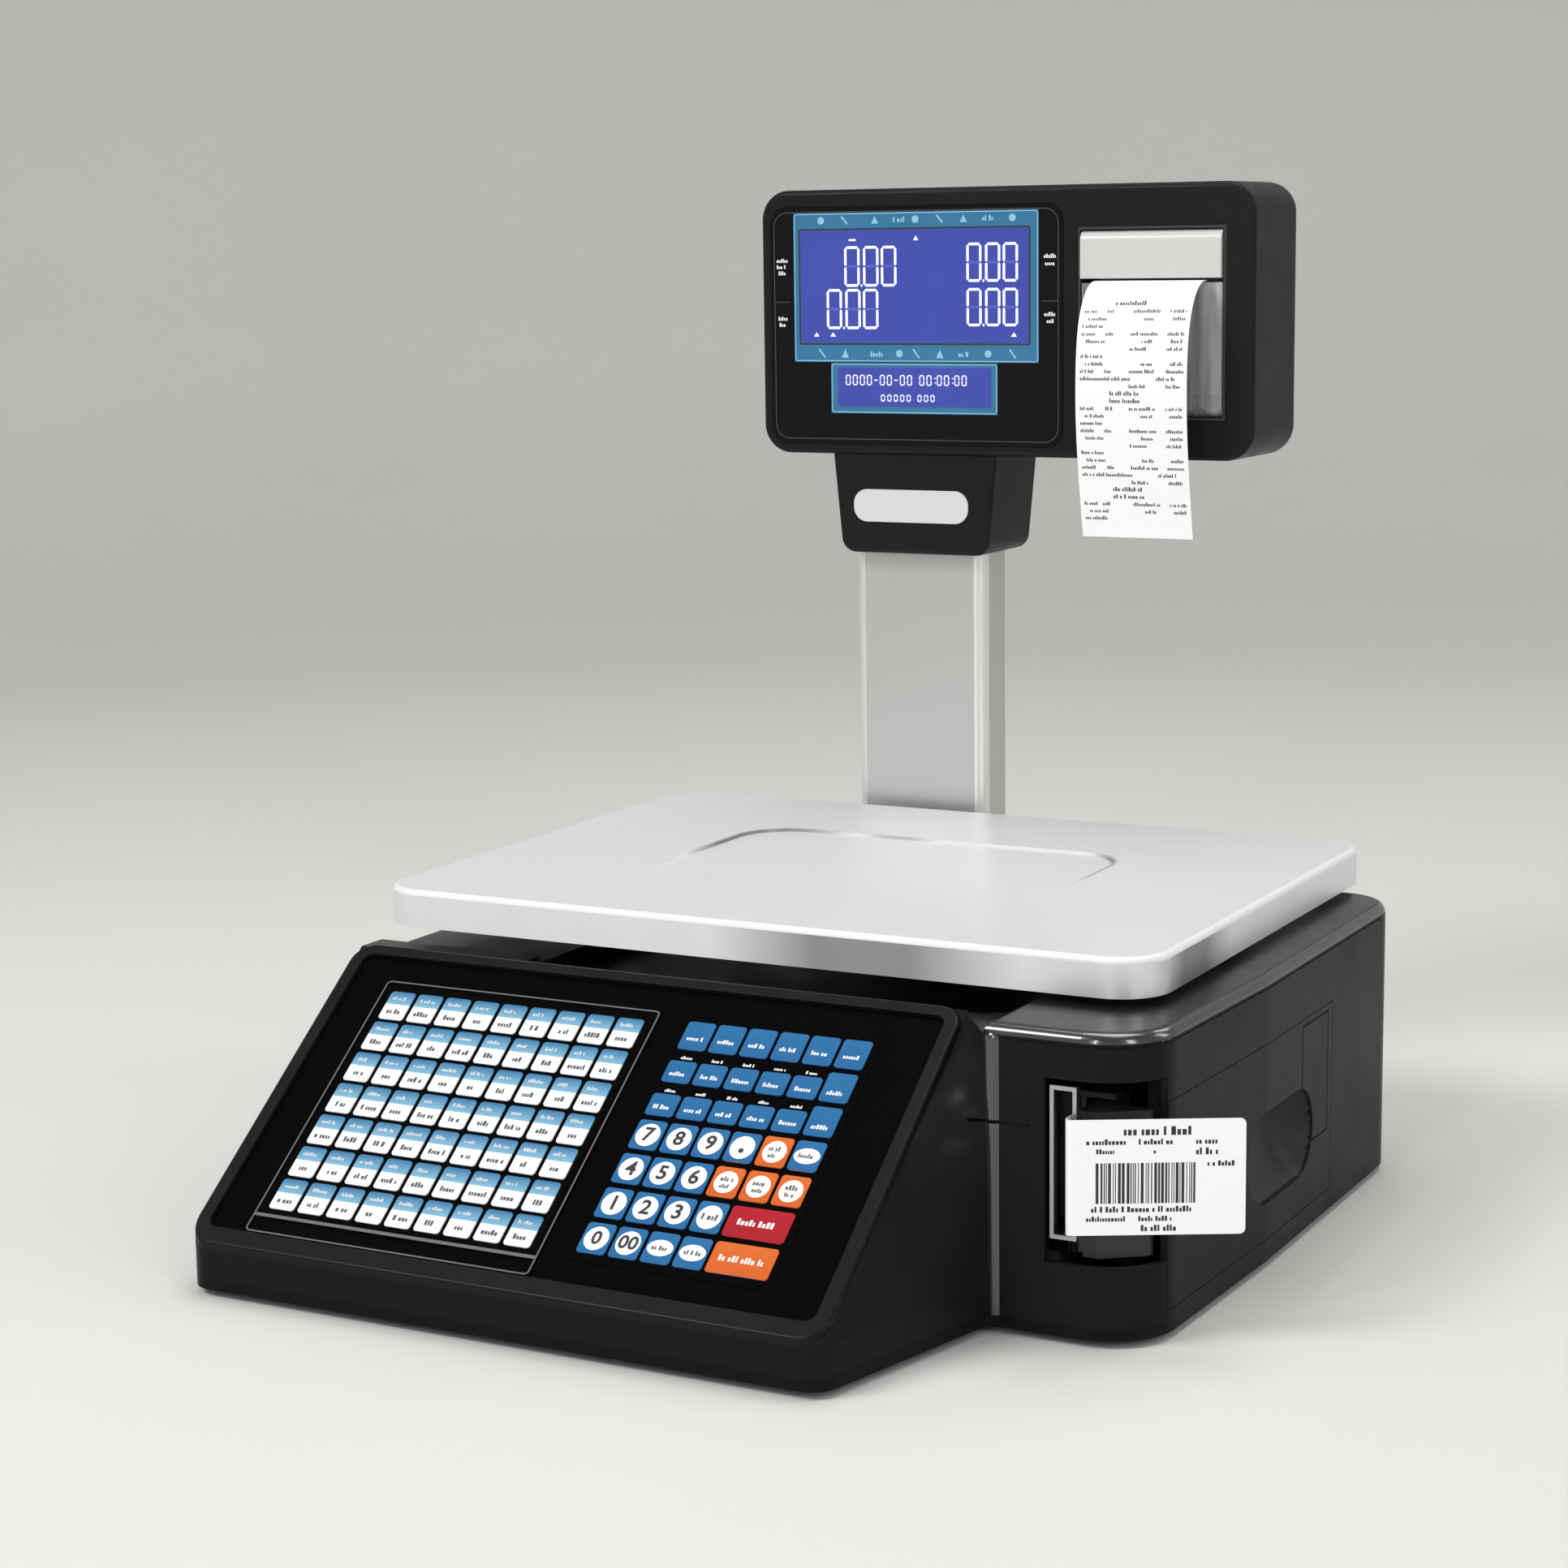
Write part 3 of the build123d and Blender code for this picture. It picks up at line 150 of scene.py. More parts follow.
def tint(colour, factor):
    """A colour made darker or brighter."""
    return tuple(min(1.0, c * factor) for c in colour)


def moulded(name, colour, rough, grain=900.0, relief=0.1, mottle=0.12, coat=0.0, wipe=0.06, gloss=0.5):
    """Moulded plastic: surface grain, slow colour drift and smudges in the gloss."""
    m = Nodes(name)
    drift = m.noise(14, 3)
    m.link(m.mix(drift, tint(colour, 1 - mottle), tint(colour, 1 + mottle)), m.shader.inputs["Base Color"])
    smudge = m.noise(38, 4, rough=0.65)
    m.link(m.span(smudge, 0.3, 0.7, max(0.02, rough - wipe), rough + wipe), m.shader.inputs["Roughness"])
    m.bump(m.noise(grain, 2), relief)
    m.set(Coat_Weight=coat, Coat_Roughness=0.05, Specular_IOR_Level=gloss)
    return m.material


def brushed(name, colour, rough, along, drift=0.05, relief=0.08, metal=1.0, streak=0.06, shade=None):
    """Metal with fine lines along one axis and slow tone changes; shade gives a mask of painted shade, where
    it is darker.
    """
    m = Nodes(name)
    scale = tuple(6 if axis == along else 1500 for axis in range(3))
    lines = m.noise(1.0, 3, m.mapped(scale))
    cloud = m.noise(9, 2)
    tone = m.math("ADD", m.math("MULTIPLY", lines, 0.5), m.math("MULTIPLY", cloud, 0.5))
    tone_with_painted_shade = m.mix(tone, tint(colour, 1 - drift), tint(colour, 1 + drift))
    if shade:
        # painted shade: where the mask is, the metal is darkened towards a third of its colour
        tone_with_painted_shade = m.mix(shade(m), tone_with_painted_shade, tint(colour, 0.3))
    m.link(tone_with_painted_shade, m.shader.inputs["Base Color"])
    m.link(m.span(lines, 0.3, 0.7, rough - streak, rough + streak), m.shader.inputs["Roughness"])
    m.bump(lines, relief, 0.00005)
    m.set(Metallic=metal)
    return m.material


def world_axis(m, axis, start):
    """Distance along one axis from a frame coordinate, in millimetres."""
    split = m.tree.nodes.new("ShaderNodeSeparateXYZ")
    m.link(m.coords, split.inputs["Vector"])
    return m.math("MULTIPLY", m.math("SUBTRACT", split.outputs[axis], start), 1000)


def peak(m, value, centre, half, height=1.0):
    """A soft peak of that height round one value, falling to nothing at half its width."""
    return m.span(m.math("ABSOLUTE", m.math("SUBTRACT", value, centre)), half * 0.3, half, height, 0)


def painted_press_shade(m):
    """Painted shade along the bend of the platter's pressed panel: a darker line on its rear half only,
    stronger at a few places along it.
    """
    centre = place(*DISH_MIDDLE, 0)
    x, y = world_axis(m, "X", centre.x), world_axis(m, "Y", centre.y)
    over = [m.math("SUBTRACT", m.math("ABSOLUTE", value), half - DISH_CORNER)
            for value, half in ((x, DISH_HALF[0]), (y, DISH_HALF[1]))]
    outside = [m.math("POWER", m.math("MAXIMUM", side, 0), 2) for side in over]
    corner = m.math("SQRT", m.math("ADD", outside[0], outside[1]))
    inside = m.math("MINIMUM", m.math("MAXIMUM", over[0], over[1]), 0)
    gap = m.math("ABSOLUTE", m.math("SUBTRACT", m.math("ADD", corner, inside), DISH_CORNER))
    line = m.span(gap, 0.3, 2.2, 1, 0)
    # painted shade: only the rear half of the line is darkened
    rear = m.span(y, -8, 22, 0, 1)
    # painted shade: strength along the line, highest at three places
    shade_strength = m.math("ADD", m.math("ADD", peak(m, x, -92, 44, 0.75), peak(m, x, -24, 22, 0.4)),
                    m.math("ADD", peak(m, x, 97, 16, 0.6), 0.15))
    return m.math("MULTIPLY", m.math("MULTIPLY", line, rear), shade_strength)


def painted_skirt_reflection(m):
    """Painted dark reflection bands that run down the platter's turned edge, strongest at two places along
    it, with a slow random drift in their strength.
    """
    centre = place(0, 0, 0)
    along = m.math("ADD", world_axis(m, "X", centre.x), world_axis(m, "Y", centre.y))
    drift = m.math("MULTIPLY", m.noise(1.0, 2, m.mapped((40, 40, 1))), 0.12)
    # painted reflection: two broad dark bands along the skirt
    dark = m.math("ADD", peak(m, along, -85, 75, 0.85), peak(m, along, 97, 44, 0.95))
    return m.math("ADD", dark, drift)


def paper(name, colour):
    """Thermal paper: faint fibre and a slight sheen."""
    m = Nodes(name)
    fibre = m.noise(1.0, 4, m.mapped((900, 300, 900)))
    m.link(m.mix(fibre, tint(colour, 0.965), tint(colour, 1.02)), m.shader.inputs["Base Color"])
    m.link(m.span(m.noise(60, 3), 0.3, 0.7, 0.42, 0.56), m.shader.inputs["Roughness"])
    m.bump(fibre, 0.05, 0.00003)
    return m.material


def ink(name, colour, rough=0.45, glow=0.0):
    """Printed ink, a little uneven in density."""
    m = Nodes(name)
    density = m.noise(700, 3)
    m.link(m.mix(density, tint(colour, 0.9), tint(colour, 1.08)), m.shader.inputs["Base Color"])
    m.link(m.span(density, 0.3, 0.7, rough - 0.05, rough + 0.05), m.shader.inputs["Roughness"])
    if glow:
        m.set(Emission_Color=(*colour, 1), Emission_Strength=glow)
    return m.material


def backlit(name, colour, glow):
    """Display glass lit from behind, its tone a little uneven over a fine grid."""
    m = Nodes(name)
    cloud = m.noise(22, 2)
    grid = m.cells(2200)
    tone = m.math("ADD", m.math("MULTIPLY", cloud, 0.7), m.math("MULTIPLY", grid, 0.5))
    shade = m.mix(tone, tint(colour, 0.75), tint(colour, 1.15))
    m.link(shade, m.shader.inputs["Base Color"])
    m.link(shade, m.shader.inputs["Emission Color"])
    m.link(m.span(cloud, 0.3, 0.7, 0.12, 0.2), m.shader.inputs["Roughness"])
    m.set(Emission_Strength=glow)
    return m.material


def film(name, colour, streak_colour, cover, rough):
    """Thin clear plastic: what is behind shows through, more gloss at its edges, and part of it is covered in
    opaque streaks of one flat colour; pale streaks are painted reflections.
    """
    m = Nodes(name)
    nodes = m.tree.nodes
    through = nodes.new("ShaderNodeBsdfTransparent")
    streak = m.noise(1.0, 3, m.mapped((160, 160, 9)))
    m.link(m.mix(streak, tint(colour, 0.92), tint(colour, 1.05)), through.inputs["Color"])
    m.link(m.span(streak, 0.3, 0.7, rough, rough + 0.06), m.shader.inputs["Roughness"])
    # colour of the opaque streaks; on the receipt door it is pale, a painted reflection
    m.link(m.mix(streak, tint(streak_colour, 0.5), tint(streak_colour, 1.5)), m.shader.inputs["Base Color"])
    weight = nodes.new("ShaderNodeLayerWeight")
    edge = m.math("MULTIPLY", m.math("POWER", weight.outputs["Facing"], 4.0), 0.5)
    body = m.span(streak, 0.35, 0.65, cover * 0.5, cover * 1.5)
    share = nodes.new("ShaderNodeMixShader")
    m.link(m.math("ADD", edge, body), share.inputs["Fac"])
    m.link(through.outputs["BSDF"], share.inputs[1])
    m.link(m.shader.outputs["BSDF"], share.inputs[2])
    m.link(share.outputs["Shader"], nodes["Material Output"].inputs["Surface"])
    return m.material


def slope_v(m):
    """Distance up the console's slope, in millimetres, at the shaded point."""
    split = m.tree.nodes.new("ShaderNodeSeparateXYZ")
    m.link(m.coords, split.inputs["Vector"])
    start = place(0, SLOPE_Y, SLOPE_Z)
    along_y = m.math("MULTIPLY", m.math("SUBTRACT", split.outputs["Y"], start.y), 1000 * math.cos(SLOPE_LEAN))
    along_z = m.math("MULTIPLY", m.math("SUBTRACT", split.outputs["Z"], start.z), 1000 * math.sin(SLOPE_LEAN))
    return m.math("ADD", along_y, along_z)


def hot_key_card(name):
    """Article keys: white card below and a blue band above, which deepens upwards."""
    m = Nodes(name)
    within = m.math("MODULO", m.math("SUBTRACT", slope_v(m), HOT_V), HOT_PITCH_V)
    band = m.span(within, 8.6, 8.9, 0, 1)
    depth = m.span(within, 8.9, HOT_KEY_V, 0, 1)
    blue = m.mix(depth, (0.26, 0.53, 0.73), (0.05, 0.21, 0.41))
    white = m.mix(m.noise(420, 3), (0.92, 0.94, 0.95), (0.97, 0.98, 0.98))
    m.link(m.mix(band, white, blue), m.shader.inputs["Base Color"])
    m.link(m.span(m.noise(80, 3), 0.3, 0.7, 0.3, 0.42), m.shader.inputs["Roughness"])
    m.bump(m.noise(1400, 2), 0.05)
    m.set(Specular_IOR_Level=0.25)
    return m.material


def key_cap(name, low, high):
    """One printed key of the membrane, its colour deepening up the slope."""
    m = Nodes(name)
    within = m.math("MODULO", m.math("SUBTRACT", slope_v(m), KEY_V), KEY_PITCH_V)
    shade = m.mix(m.span(within, 0, KEY_HEIGHT, 0, 1), low, high)
    m.link(m.mix(m.noise(300, 3), shade, low), m.shader.inputs["Base Color"])
    m.link(m.span(m.noise(80, 3), 0.3, 0.7, 0.34, 0.46), m.shader.inputs["Roughness"])
    m.bump(m.noise(1500, 2), 0.07)
    m.set(Specular_IOR_Level=0.2)
    return m.material


def circuit(name):
    """Green circuit board with paler copper tracks under the lacquer."""
    m = Nodes(name)
    brick = m.tree.nodes.new("ShaderNodeTexBrick")
    brick.inputs["Scale"].default_value = 120
    brick.inputs["Mortar Size"].default_value = 0.03
    brick.inputs["Color1"].default_value = (0.01, 0.09, 0.035, 1)
    brick.inputs["Color2"].default_value = (0.012, 0.11, 0.045, 1)
    brick.inputs["Mortar"].default_value = (0.03, 0.2, 0.08, 1)
    m.link(m.coords, brick.inputs["Vector"])
    m.link(brick.outputs["Color"], m.shader.inputs["Base Color"])
    m.link(m.span(m.noise(50, 3), 0.3, 0.7, 0.25, 0.4), m.shader.inputs["Roughness"])
    m.bump(m.noise(700, 2), 0.1)
    return m.material


BLACK = (0.0102, 0.0104, 0.012)
MATERIALS = {
    "shell": moulded("gloss_black_shell", BLACK, 0.33, grain=500, relief=0.03, wipe=0.04, gloss=0.05),
    "shell_top": moulded("gloss_black_deck", BLACK, 0.36, grain=500, relief=0.03, coat=0.1, wipe=0.05,
                         gloss=0.5),
    # rims and bead: the black made half again lighter, a painted highlight, besides real extra gloss and coat
    "shell_edge_painted_highlight": moulded("gloss_black_edge_painted_highlight", tint(BLACK, 1.5), 0.2, grain=500, relief=0.01, coat=0.5,
                          wipe=0.03, gloss=1.0),
    "scoop": moulded("satin_black_scoop", (0.020, 0.0225, 0.0275), 0.5, grain=700, relief=0.03, gloss=0.3),
    "tray": moulded("satin_black_tray", (0.0068, 0.0069, 0.008), 0.36, grain=1100, relief=0.1, gloss=0.06),
    "bezel": moulded("bezel_black", (0.008, 0.0082, 0.0093), 0.34, grain=1200, relief=0.06, gloss=0.13),
    "panel": moulded("panel_black", (0.0016, 0.0013, 0.0016), 0.3, grain=300, relief=0.01, wipe=0.03,
                     gloss=0.03),
    "head": moulded("head_black", (0.0115, 0.0118, 0.0135), 0.38, grain=1300, relief=0.1, gloss=0.09),
    "window": moulded("window_black", (0.0045, 0.0045, 0.0055), 0.16, grain=200, relief=0.01, wipe=0.03,
                      gloss=0.14),
    "inner": moulded("inner_black", (0.02, 0.02, 0.022), 0.45, grain=900, relief=0.15),
    "rubber": moulded("foot_rubber", (0.018, 0.018, 0.018), 0.75, grain=2200, relief=0.5),
    "roller": moulded("roller_rubber", (0.03, 0.03, 0.032), 0.6, grain=2600, relief=0.4),
    "neck_white": moulded("neck_white", (0.62, 0.62, 0.64), 0.4, grain=900, relief=0.06, mottle=0.03),
    "lever": moulded("lever_grey", (0.58, 0.58, 0.57), 0.32, grain=900, relief=0.06, mottle=0.05),
    "nylon": moulded("nylon_white", (0.7, 0.69, 0.65), 0.5, grain=1200, relief=0.1, mottle=0.05),
    "latch": moulded("latch_green", (0.05, 0.27, 0.12), 0.4, grain=1200, relief=0.1),
    "vial": moulded("vial_green", (0.25, 0.6, 0.12), 0.12, grain=300, relief=0.02, coat=0.8),
    "print_head": moulded("print_head_ceramic", (0.07, 0.08, 0.1), 0.25, grain=800, relief=0.05),
    "stainless": brushed("stainless", (0.86, 0.86, 0.885), 0.36, 0, drift=0.012, relief=0.02, metal=0.5,
                         shade=painted_press_shade),
    # the platter's rounded edge: a darker, rougher copy of the steel; its darker colour is painted shade that
    # damps the edge's highlight
    "stainless_edge_painted_shade": brushed("stainless_edge_painted_shade", (0.74, 0.74, 0.76), 0.7, 0, drift=0.01, relief=0.01,
                              metal=0.3, streak=0.02),
    # the platter's skirt: a slightly darker copy of the steel that carries the painted dark reflection bands
    "stainless_skirt_painted_reflection": brushed("stainless_skirt_painted_reflection", (0.82, 0.82, 0.84), 0.34, 2, drift=0.01, relief=0.004,
                               metal=0.6, streak=0.02, shade=painted_skirt_reflection),
    "steel": brushed("zinc_steel", (0.5, 0.5, 0.5), 0.34, 2),
    "pole": brushed("pole_aluminium", (0.50, 0.50, 0.49), 0.32, 2, drift=0.012, relief=0.01, metal=0.55,
                    streak=0.015),
    # the pole's rounded corners: a lighter copy of its aluminium, a painted highlight
    "pole_edge_painted_highlight": brushed("pole_aluminium_painted_highlight", (0.72, 0.72, 0.7), 0.32, 2, drift=0.012, relief=0.01,
                         metal=0.5, streak=0.015),
    "cast": moulded("cast_aluminium", (0.42, 0.43, 0.44), 0.5, grain=500, relief=0.35),
    "bright": brushed("bright_frame", (0.45, 0.46, 0.47), 0.3, 2),
    "paper": paper("thermal_paper", (0.86, 0.86, 0.87)),
    "label_paper": paper("label_paper", (0.94, 0.94, 0.95)),
    "roll_paper": paper("roll_paper", (0.78, 0.77, 0.74)),
    "circuit": circuit("circuit_board"),
    "pocket": film("pocket_film", (0.99, 0.995, 0.995), (0.02, 0.02, 0.02), 0.012, 0.08),
    # receipt door: its pale opaque streaks are painted reflections on the clear plastic
    "smoked": film("clear_door", (0.72, 0.75, 0.76), (0.7, 0.73, 0.75), 0.36, 0.12),
    "lcd_frame": backlit("lcd_frame_blue", (0.024, 0.125, 0.235), 0.34),
    "lcd_active": backlit("lcd_active_blue", (0.03, 0.044, 0.255), 0.52),
    "lcd_ink": ink("lcd_segments", (0.66, 0.70, 0.86), 0.3, glow=0.5),
    "lcd_ghost": ink("lcd_unlit_segments", (0.06, 0.07, 0.34), 0.3, glow=0.5),
    "lcd_mark": ink("lcd_marks", (0.2, 0.42, 0.56), 0.3, glow=0.25),
    "white_ink": ink("white_ink", (0.75, 0.77, 0.79)),
    "black_ink": ink("black_ink", (0.02, 0.02, 0.022)),
    "grey_ink": ink("grey_ink", (0.1, 0.1, 0.105)),
    "pale_ink": ink("pale_line_ink", (0.11, 0.115, 0.12)),
    "dim_ink": ink("dim_line_ink", (0.045, 0.047, 0.05)),
    "hot_card": hot_key_card("article_key_card"),
    "key_blue": key_cap("key_blue", (0.015, 0.115, 0.285), (0.02, 0.155, 0.35)),
    "key_orange": key_cap("key_orange", (0.56, 0.105, 0.015), (0.66, 0.15, 0.025)),
    "key_red": key_cap("key_red", (0.34, 0.006, 0.013), (0.44, 0.01, 0.024)),
}

LOOK = {
    "shell": "pole_socket",
    "tray": "base_tray",
    "bezel": "console_bezel",
    "panel": "key_panel",
    "head": "head_front head_back neck",
    "window": "display_window",
    "inner": "cassette_chassis cassette_rails receipt_well rear_ports power_inlet switch_frame"
             " power_rocker keyboard_board",
    "rubber": "foot_1 foot_2 foot_3 foot_4 platter_stud_1 platter_stud_2 platter_stud_3 platter_stud_4",
    "roller": "label_platen receipt_platen",
    "neck_white": "neck_plate",
    "lever": "receipt_lever",
    "nylon": "motor_pinion",
    "latch": "head_latch",
    "vial": "level_vial",
    "print_head": "label_head receipt_head",
    "steel": "connector_plate pole_bolts cell_bolts label_motor",
    "pole": "load_cell",
    "cast": "spider cell_base power_supply",
    "bright": "outlet_frame",
    "paper": "receipt_strip",
    "label_paper": "printed_label",
    "roll_paper": "receipt_roll label_roll rewind_spool",
    "circuit": "main_board head_board",
    "pocket": "card_pocket",
    "smoked": "receipt_door",
    "lcd_frame": "main_lcd line_lcd rear_lcd",
}
for look, names in LOOK.items():
    for node_name in names.split():
        mesh = NODES[node_name].data
        mesh.materials.clear()
        mesh.materials.append(MATERIALS[look])


def split_looks(node, looks, choose):
    """Gives each face of a node one of several looks; choose returns its place in the list."""
    mesh = NODES[node].data
    mesh.materials.clear()
    for look in looks:
        mesh.materials.append(MATERIALS[look])
    for face in mesh.polygons:
        face.material_index = choose(face)


def platter_side(face):
    """0 on the top, 1 on the rounded edge, 2 on the turned-down skirt."""
    x, y = source_xy(face.center)
    level = face.normal.z
    if (abs(x) < PLATTER_INNER[0] and abs(y) < PLATTER_INNER[1]) or level > 0.98:
        return 0
    return 1 if level > 0.12 else 2


def housing_side(face):
    """0 on plain walls, 1 on level faces, 2 on the rounded rims and on the bead beside the console."""
    x, y = source_xy(face.center)
    reach = math.hypot(x - BEAD[0], y - BEAD[1])
    facing = face.normal.x * (x - BEAD[0]) + face.normal.y * (y - BEAD[1])
    if abs(reach - BEAD_RADIUS) < 0.3 and facing > 0.9 * reach:
        return 2
    level = face.normal.z
    if level > 0.9:
        return 1
    outside = x > BEAD[0] - 2 or y > CROWN_FOOT_Y
    return 2 if level > 0.1 and face.center.z * 1000 > RIM_FOOT and outside else 0


def cover_side(face):
    """1 inside the cassette cover's finger scoop, 0 elsewhere."""
    x, y = source_xy(face.center)
    level = SCOOP_LEVEL[0] < face.center.z * 1000 < SCOOP_LEVEL[1]
    return int(SCOOP_X[0] < x < SCOOP_X[1] and SCOOP_Y[0] < y < SCOOP_Y[1] and level)


def pole_side(face):
    """1 on the pole's rounded corners, which take a lighter aluminium as a painted highlight, 0 on its flat
    sides.
    """
    return int(abs(face.normal.x) > 0.2 and abs(face.normal.y) > 0.2)


# one steel in three tones by face: the edge's darker tone is painted shade and the skirt carries painted
# reflection bands
split_looks("platter", ("stainless", "stainless_edge_painted_shade", "stainless_skirt_painted_reflection"), platter_side)
# the housing's rims and bead take the lighter black, a painted highlight
split_looks("upper_housing", ("shell", "shell_top", "shell_edge_painted_highlight"), housing_side)
split_looks("cassette_cover", ("shell", "scoop"), cover_side)
split_looks("pole", ("pole", "pole_edge_painted_highlight"), pole_side)


# ---- flat pieces in mesh code ----------------------------------------------
class Plate:
    """Thin closed prisms on one plane, gathered into a single piece."""

    def __init__(self, origin, across, up, thickness=0.06):
        self.origin, self.across, self.up = origin, Vector(across), Vector(up)
        self.out = self.across.cross(self.up)
        self.thickness = thickness
        self.vertices, self.faces = [], []

    def at(self, a, b, height):
        """Frame point at a across, b up and that height off the plane."""
        offset = self.across * a + self.up * b + self.out * height
        return place(*(Vector(self.origin) + offset))

    def add(self, outline, low=0.0):
        """A prism over a closed outline that runs anticlockwise seen from outside."""
        base, count = len(self.vertices), len(outline)
        for height in (low, low + self.thickness):
            self.vertices += [self.at(a, b, height) for a, b in outline]
        self.faces.append([base + i for i in reversed(range(count))])
        self.faces.append([base + count + i for i in range(count)])
        for i in range(count):
            j = (i + 1) % count
            self.faces.append([base + i, base + j, base + count + j, base + count + i])

    def bar(self, a0, a1, b0, b1, low=0.0, radius=0.0):
        """A rectangle, with its corners rounded if it has a radius."""
        self.add(rounded(a0, a1, b0, b1, radius), low)

    def disc(self, a, b, radius_a, radius_b=None, steps=28):
        """A round or oval spot."""
        radius_b = radius_b or radius_a
        self.add([(a + radius_a * math.cos(t), b + radius_b * math.sin(t))
                  for t in (2 * math.pi * i / steps for i in range(steps))])

    def stroke(self, a0, b0, a1, b1, width):
        """A straight line of that width."""
        d = Vector((a1 - a0, b1 - b0)).normalized() * width / 2
        side = Vector((-d.y, d.x))
        self.add([(a0 - side.x, b0 - side.y), (a1 - side.x, b1 - side.y),
                  (a1 + side.x, b1 + side.y), (a0 + side.x, b0 + side.y)])

    def ring(self, a0, a1, b0, b1, radius, width):
        """A closed line along a rounded rectangle."""
        outer = rounded(a0, a1, b0, b1, radius)
        inner = rounded(a0 + width, a1 - width, b0 + width, b1 - width, max(radius - width, 0.05))
        base, count = len(self.vertices), len(outer)
        for line, height in ((outer, 0.0), (inner, 0.0), (outer, self.thickness), (inner, self.thickness)):
            self.vertices += [self.at(a, b, height) for a, b in line]
        for i in range(count):
            j = (i + 1) % count
            lo, li, ho, hi = (base + k * count for k in range(4))
            self.faces += [[lo + j, lo + i, li + i, li + j], [ho + i, ho + j, hi + j, hi + i],
                           [lo + i, lo + j, ho + j, ho + i], [li + j, li + i, hi + i, hi + j]]

    def text(self, words, a, b, size):
        """Words in Blender's own plain typeface, thickened and centred on a point."""
        curve = bpy.data.curves.new("glyphs", "FONT")
        curve.body, curve.size = words, size
        curve.align_x, curve.align_y = "CENTER", "CENTER"
        curve.resolution_u = 3
        curve.offset = size * 0.022
        curve.extrude = self.thickness / 2
        holder = bpy.data.objects.new("glyphs", curve)
        glyphs = bpy.data.meshes.new_from_object(holder)
        base = len(self.vertices)
        middle = self.thickness / 2
        self.vertices += [self.at(a + v.co.x, b + v.co.y, middle + v.co.z) for v in glyphs.vertices]
        self.faces += [[base + i for i in p.vertices] for p in glyphs.polygons]
        bpy.data.objects.remove(holder)
        bpy.data.curves.remove(curve)
        bpy.data.meshes.remove(glyphs)

    def words(self, a, b, width, height, seed, low=0.0):
        """A row of small strokes that reads as a line of print from a distance."""
        rng = random.Random(seed)
        x, end = a, a + width
        while x < end - height * 0.3:
            letter = height * rng.uniform(0.28, 0.55)
            tall = height * rng.choice((0.66, 0.66, 1.0))
            self.bar(x, min(x + letter, end), b, b + tall, low)
            x += letter + height * (0.55 if rng.random() < 0.18 else 0.16)

    def piece(self, name, look, body):
        """Turns what was gathered into one object that rides on that body."""
        mesh = bpy.data.meshes.new(name)
        mesh.from_pydata(self.vertices, [], self.faces)
        mesh.materials.append(MATERIALS[look])
        mesh.validate()
        made = bpy.data.objects.new(name, mesh)
        bpy.context.scene.collection.objects.link(made)
        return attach(made, body)


def rounded(a0, a1, b0, b1, radius):
    """Outline of a rounded rectangle, anticlockwise."""
    steps = 5
    if radius <= 0:
        return [(a0, b0), (a1, b0), (a1, b1), (a0, b1)]
    points = []
    for ca, cb, start in ((a1 - radius, b0 + radius, -90), (a1 - radius, b1 - radius, 0),
                          (a0 + radius, b1 - radius, 90), (a0 + radius, b0 + radius, 180)):
        for i in range(steps + 1):
            t = math.radians(start + 90 * i / steps)
            points.append((ca + radius * math.cos(t), cb + radius * math.sin(t)))
    return points


def on_slope(height, thickness=0.05):
    """A plate lying on the console's slope, height above the bezel's top face."""
    up = (0, math.cos(SLOPE_LEAN), math.sin(SLOPE_LEAN))
    origin = (0, SLOPE_Y - height * math.sin(SLOPE_LEAN), SLOPE_Z + height * math.cos(SLOPE_LEAN))
    return Plate(origin, (1, 0, 0), up, thickness)


def on_head(y, thickness=0.06):
    """A plate standing on the front of the head."""
    return Plate((0, y, 0), (1, 0, 0), (0, 0, 1), thickness)


# ---- keys ------------------------------------------------------------------
def slope_uv(co):
    """u, v and height of a frame point on the console's slope, in millimetres."""
    start = place(0, SLOPE_Y, SLOPE_Z)
    dy, dz = (co.y - start.y) * 1000, (co.z - start.z) * 1000
    c, s = math.cos(SLOPE_LEAN), math.sin(SLOPE_LEAN)
    return co.x * 1000 - SHIFT_X, dy * c + dz * s, dz * c - dy * s


def card_side(face):
    """1 on the article keys, 0 on the sheet between them."""
    return int(slope_uv(face.center)[2] > KEY_FOOT)


def key_colour(face):
    """0 on the sheet between the function keys, 1 on blue keys, 2 on orange ones, 3 on the red one."""
    u, v, height = slope_uv(face.center)
    column, row = math.floor((u - KEY_U) / KEY_PITCH_U), math.floor((v - KEY_V) / KEY_PITCH_V)
    if height < KEY_FOOT:
        return 0
    if column >= 4 and row in (0, 1):
        return 2 + row
    return 2 if (row == 2 and column >= 3) or (row == 3 and column == 4) else 1


def key_middle(column, row):
    return KEY_U + column * KEY_PITCH_U + KEY_WIDTH / 2, KEY_V + row * KEY_PITCH_V + KEY_HEIGHT / 2


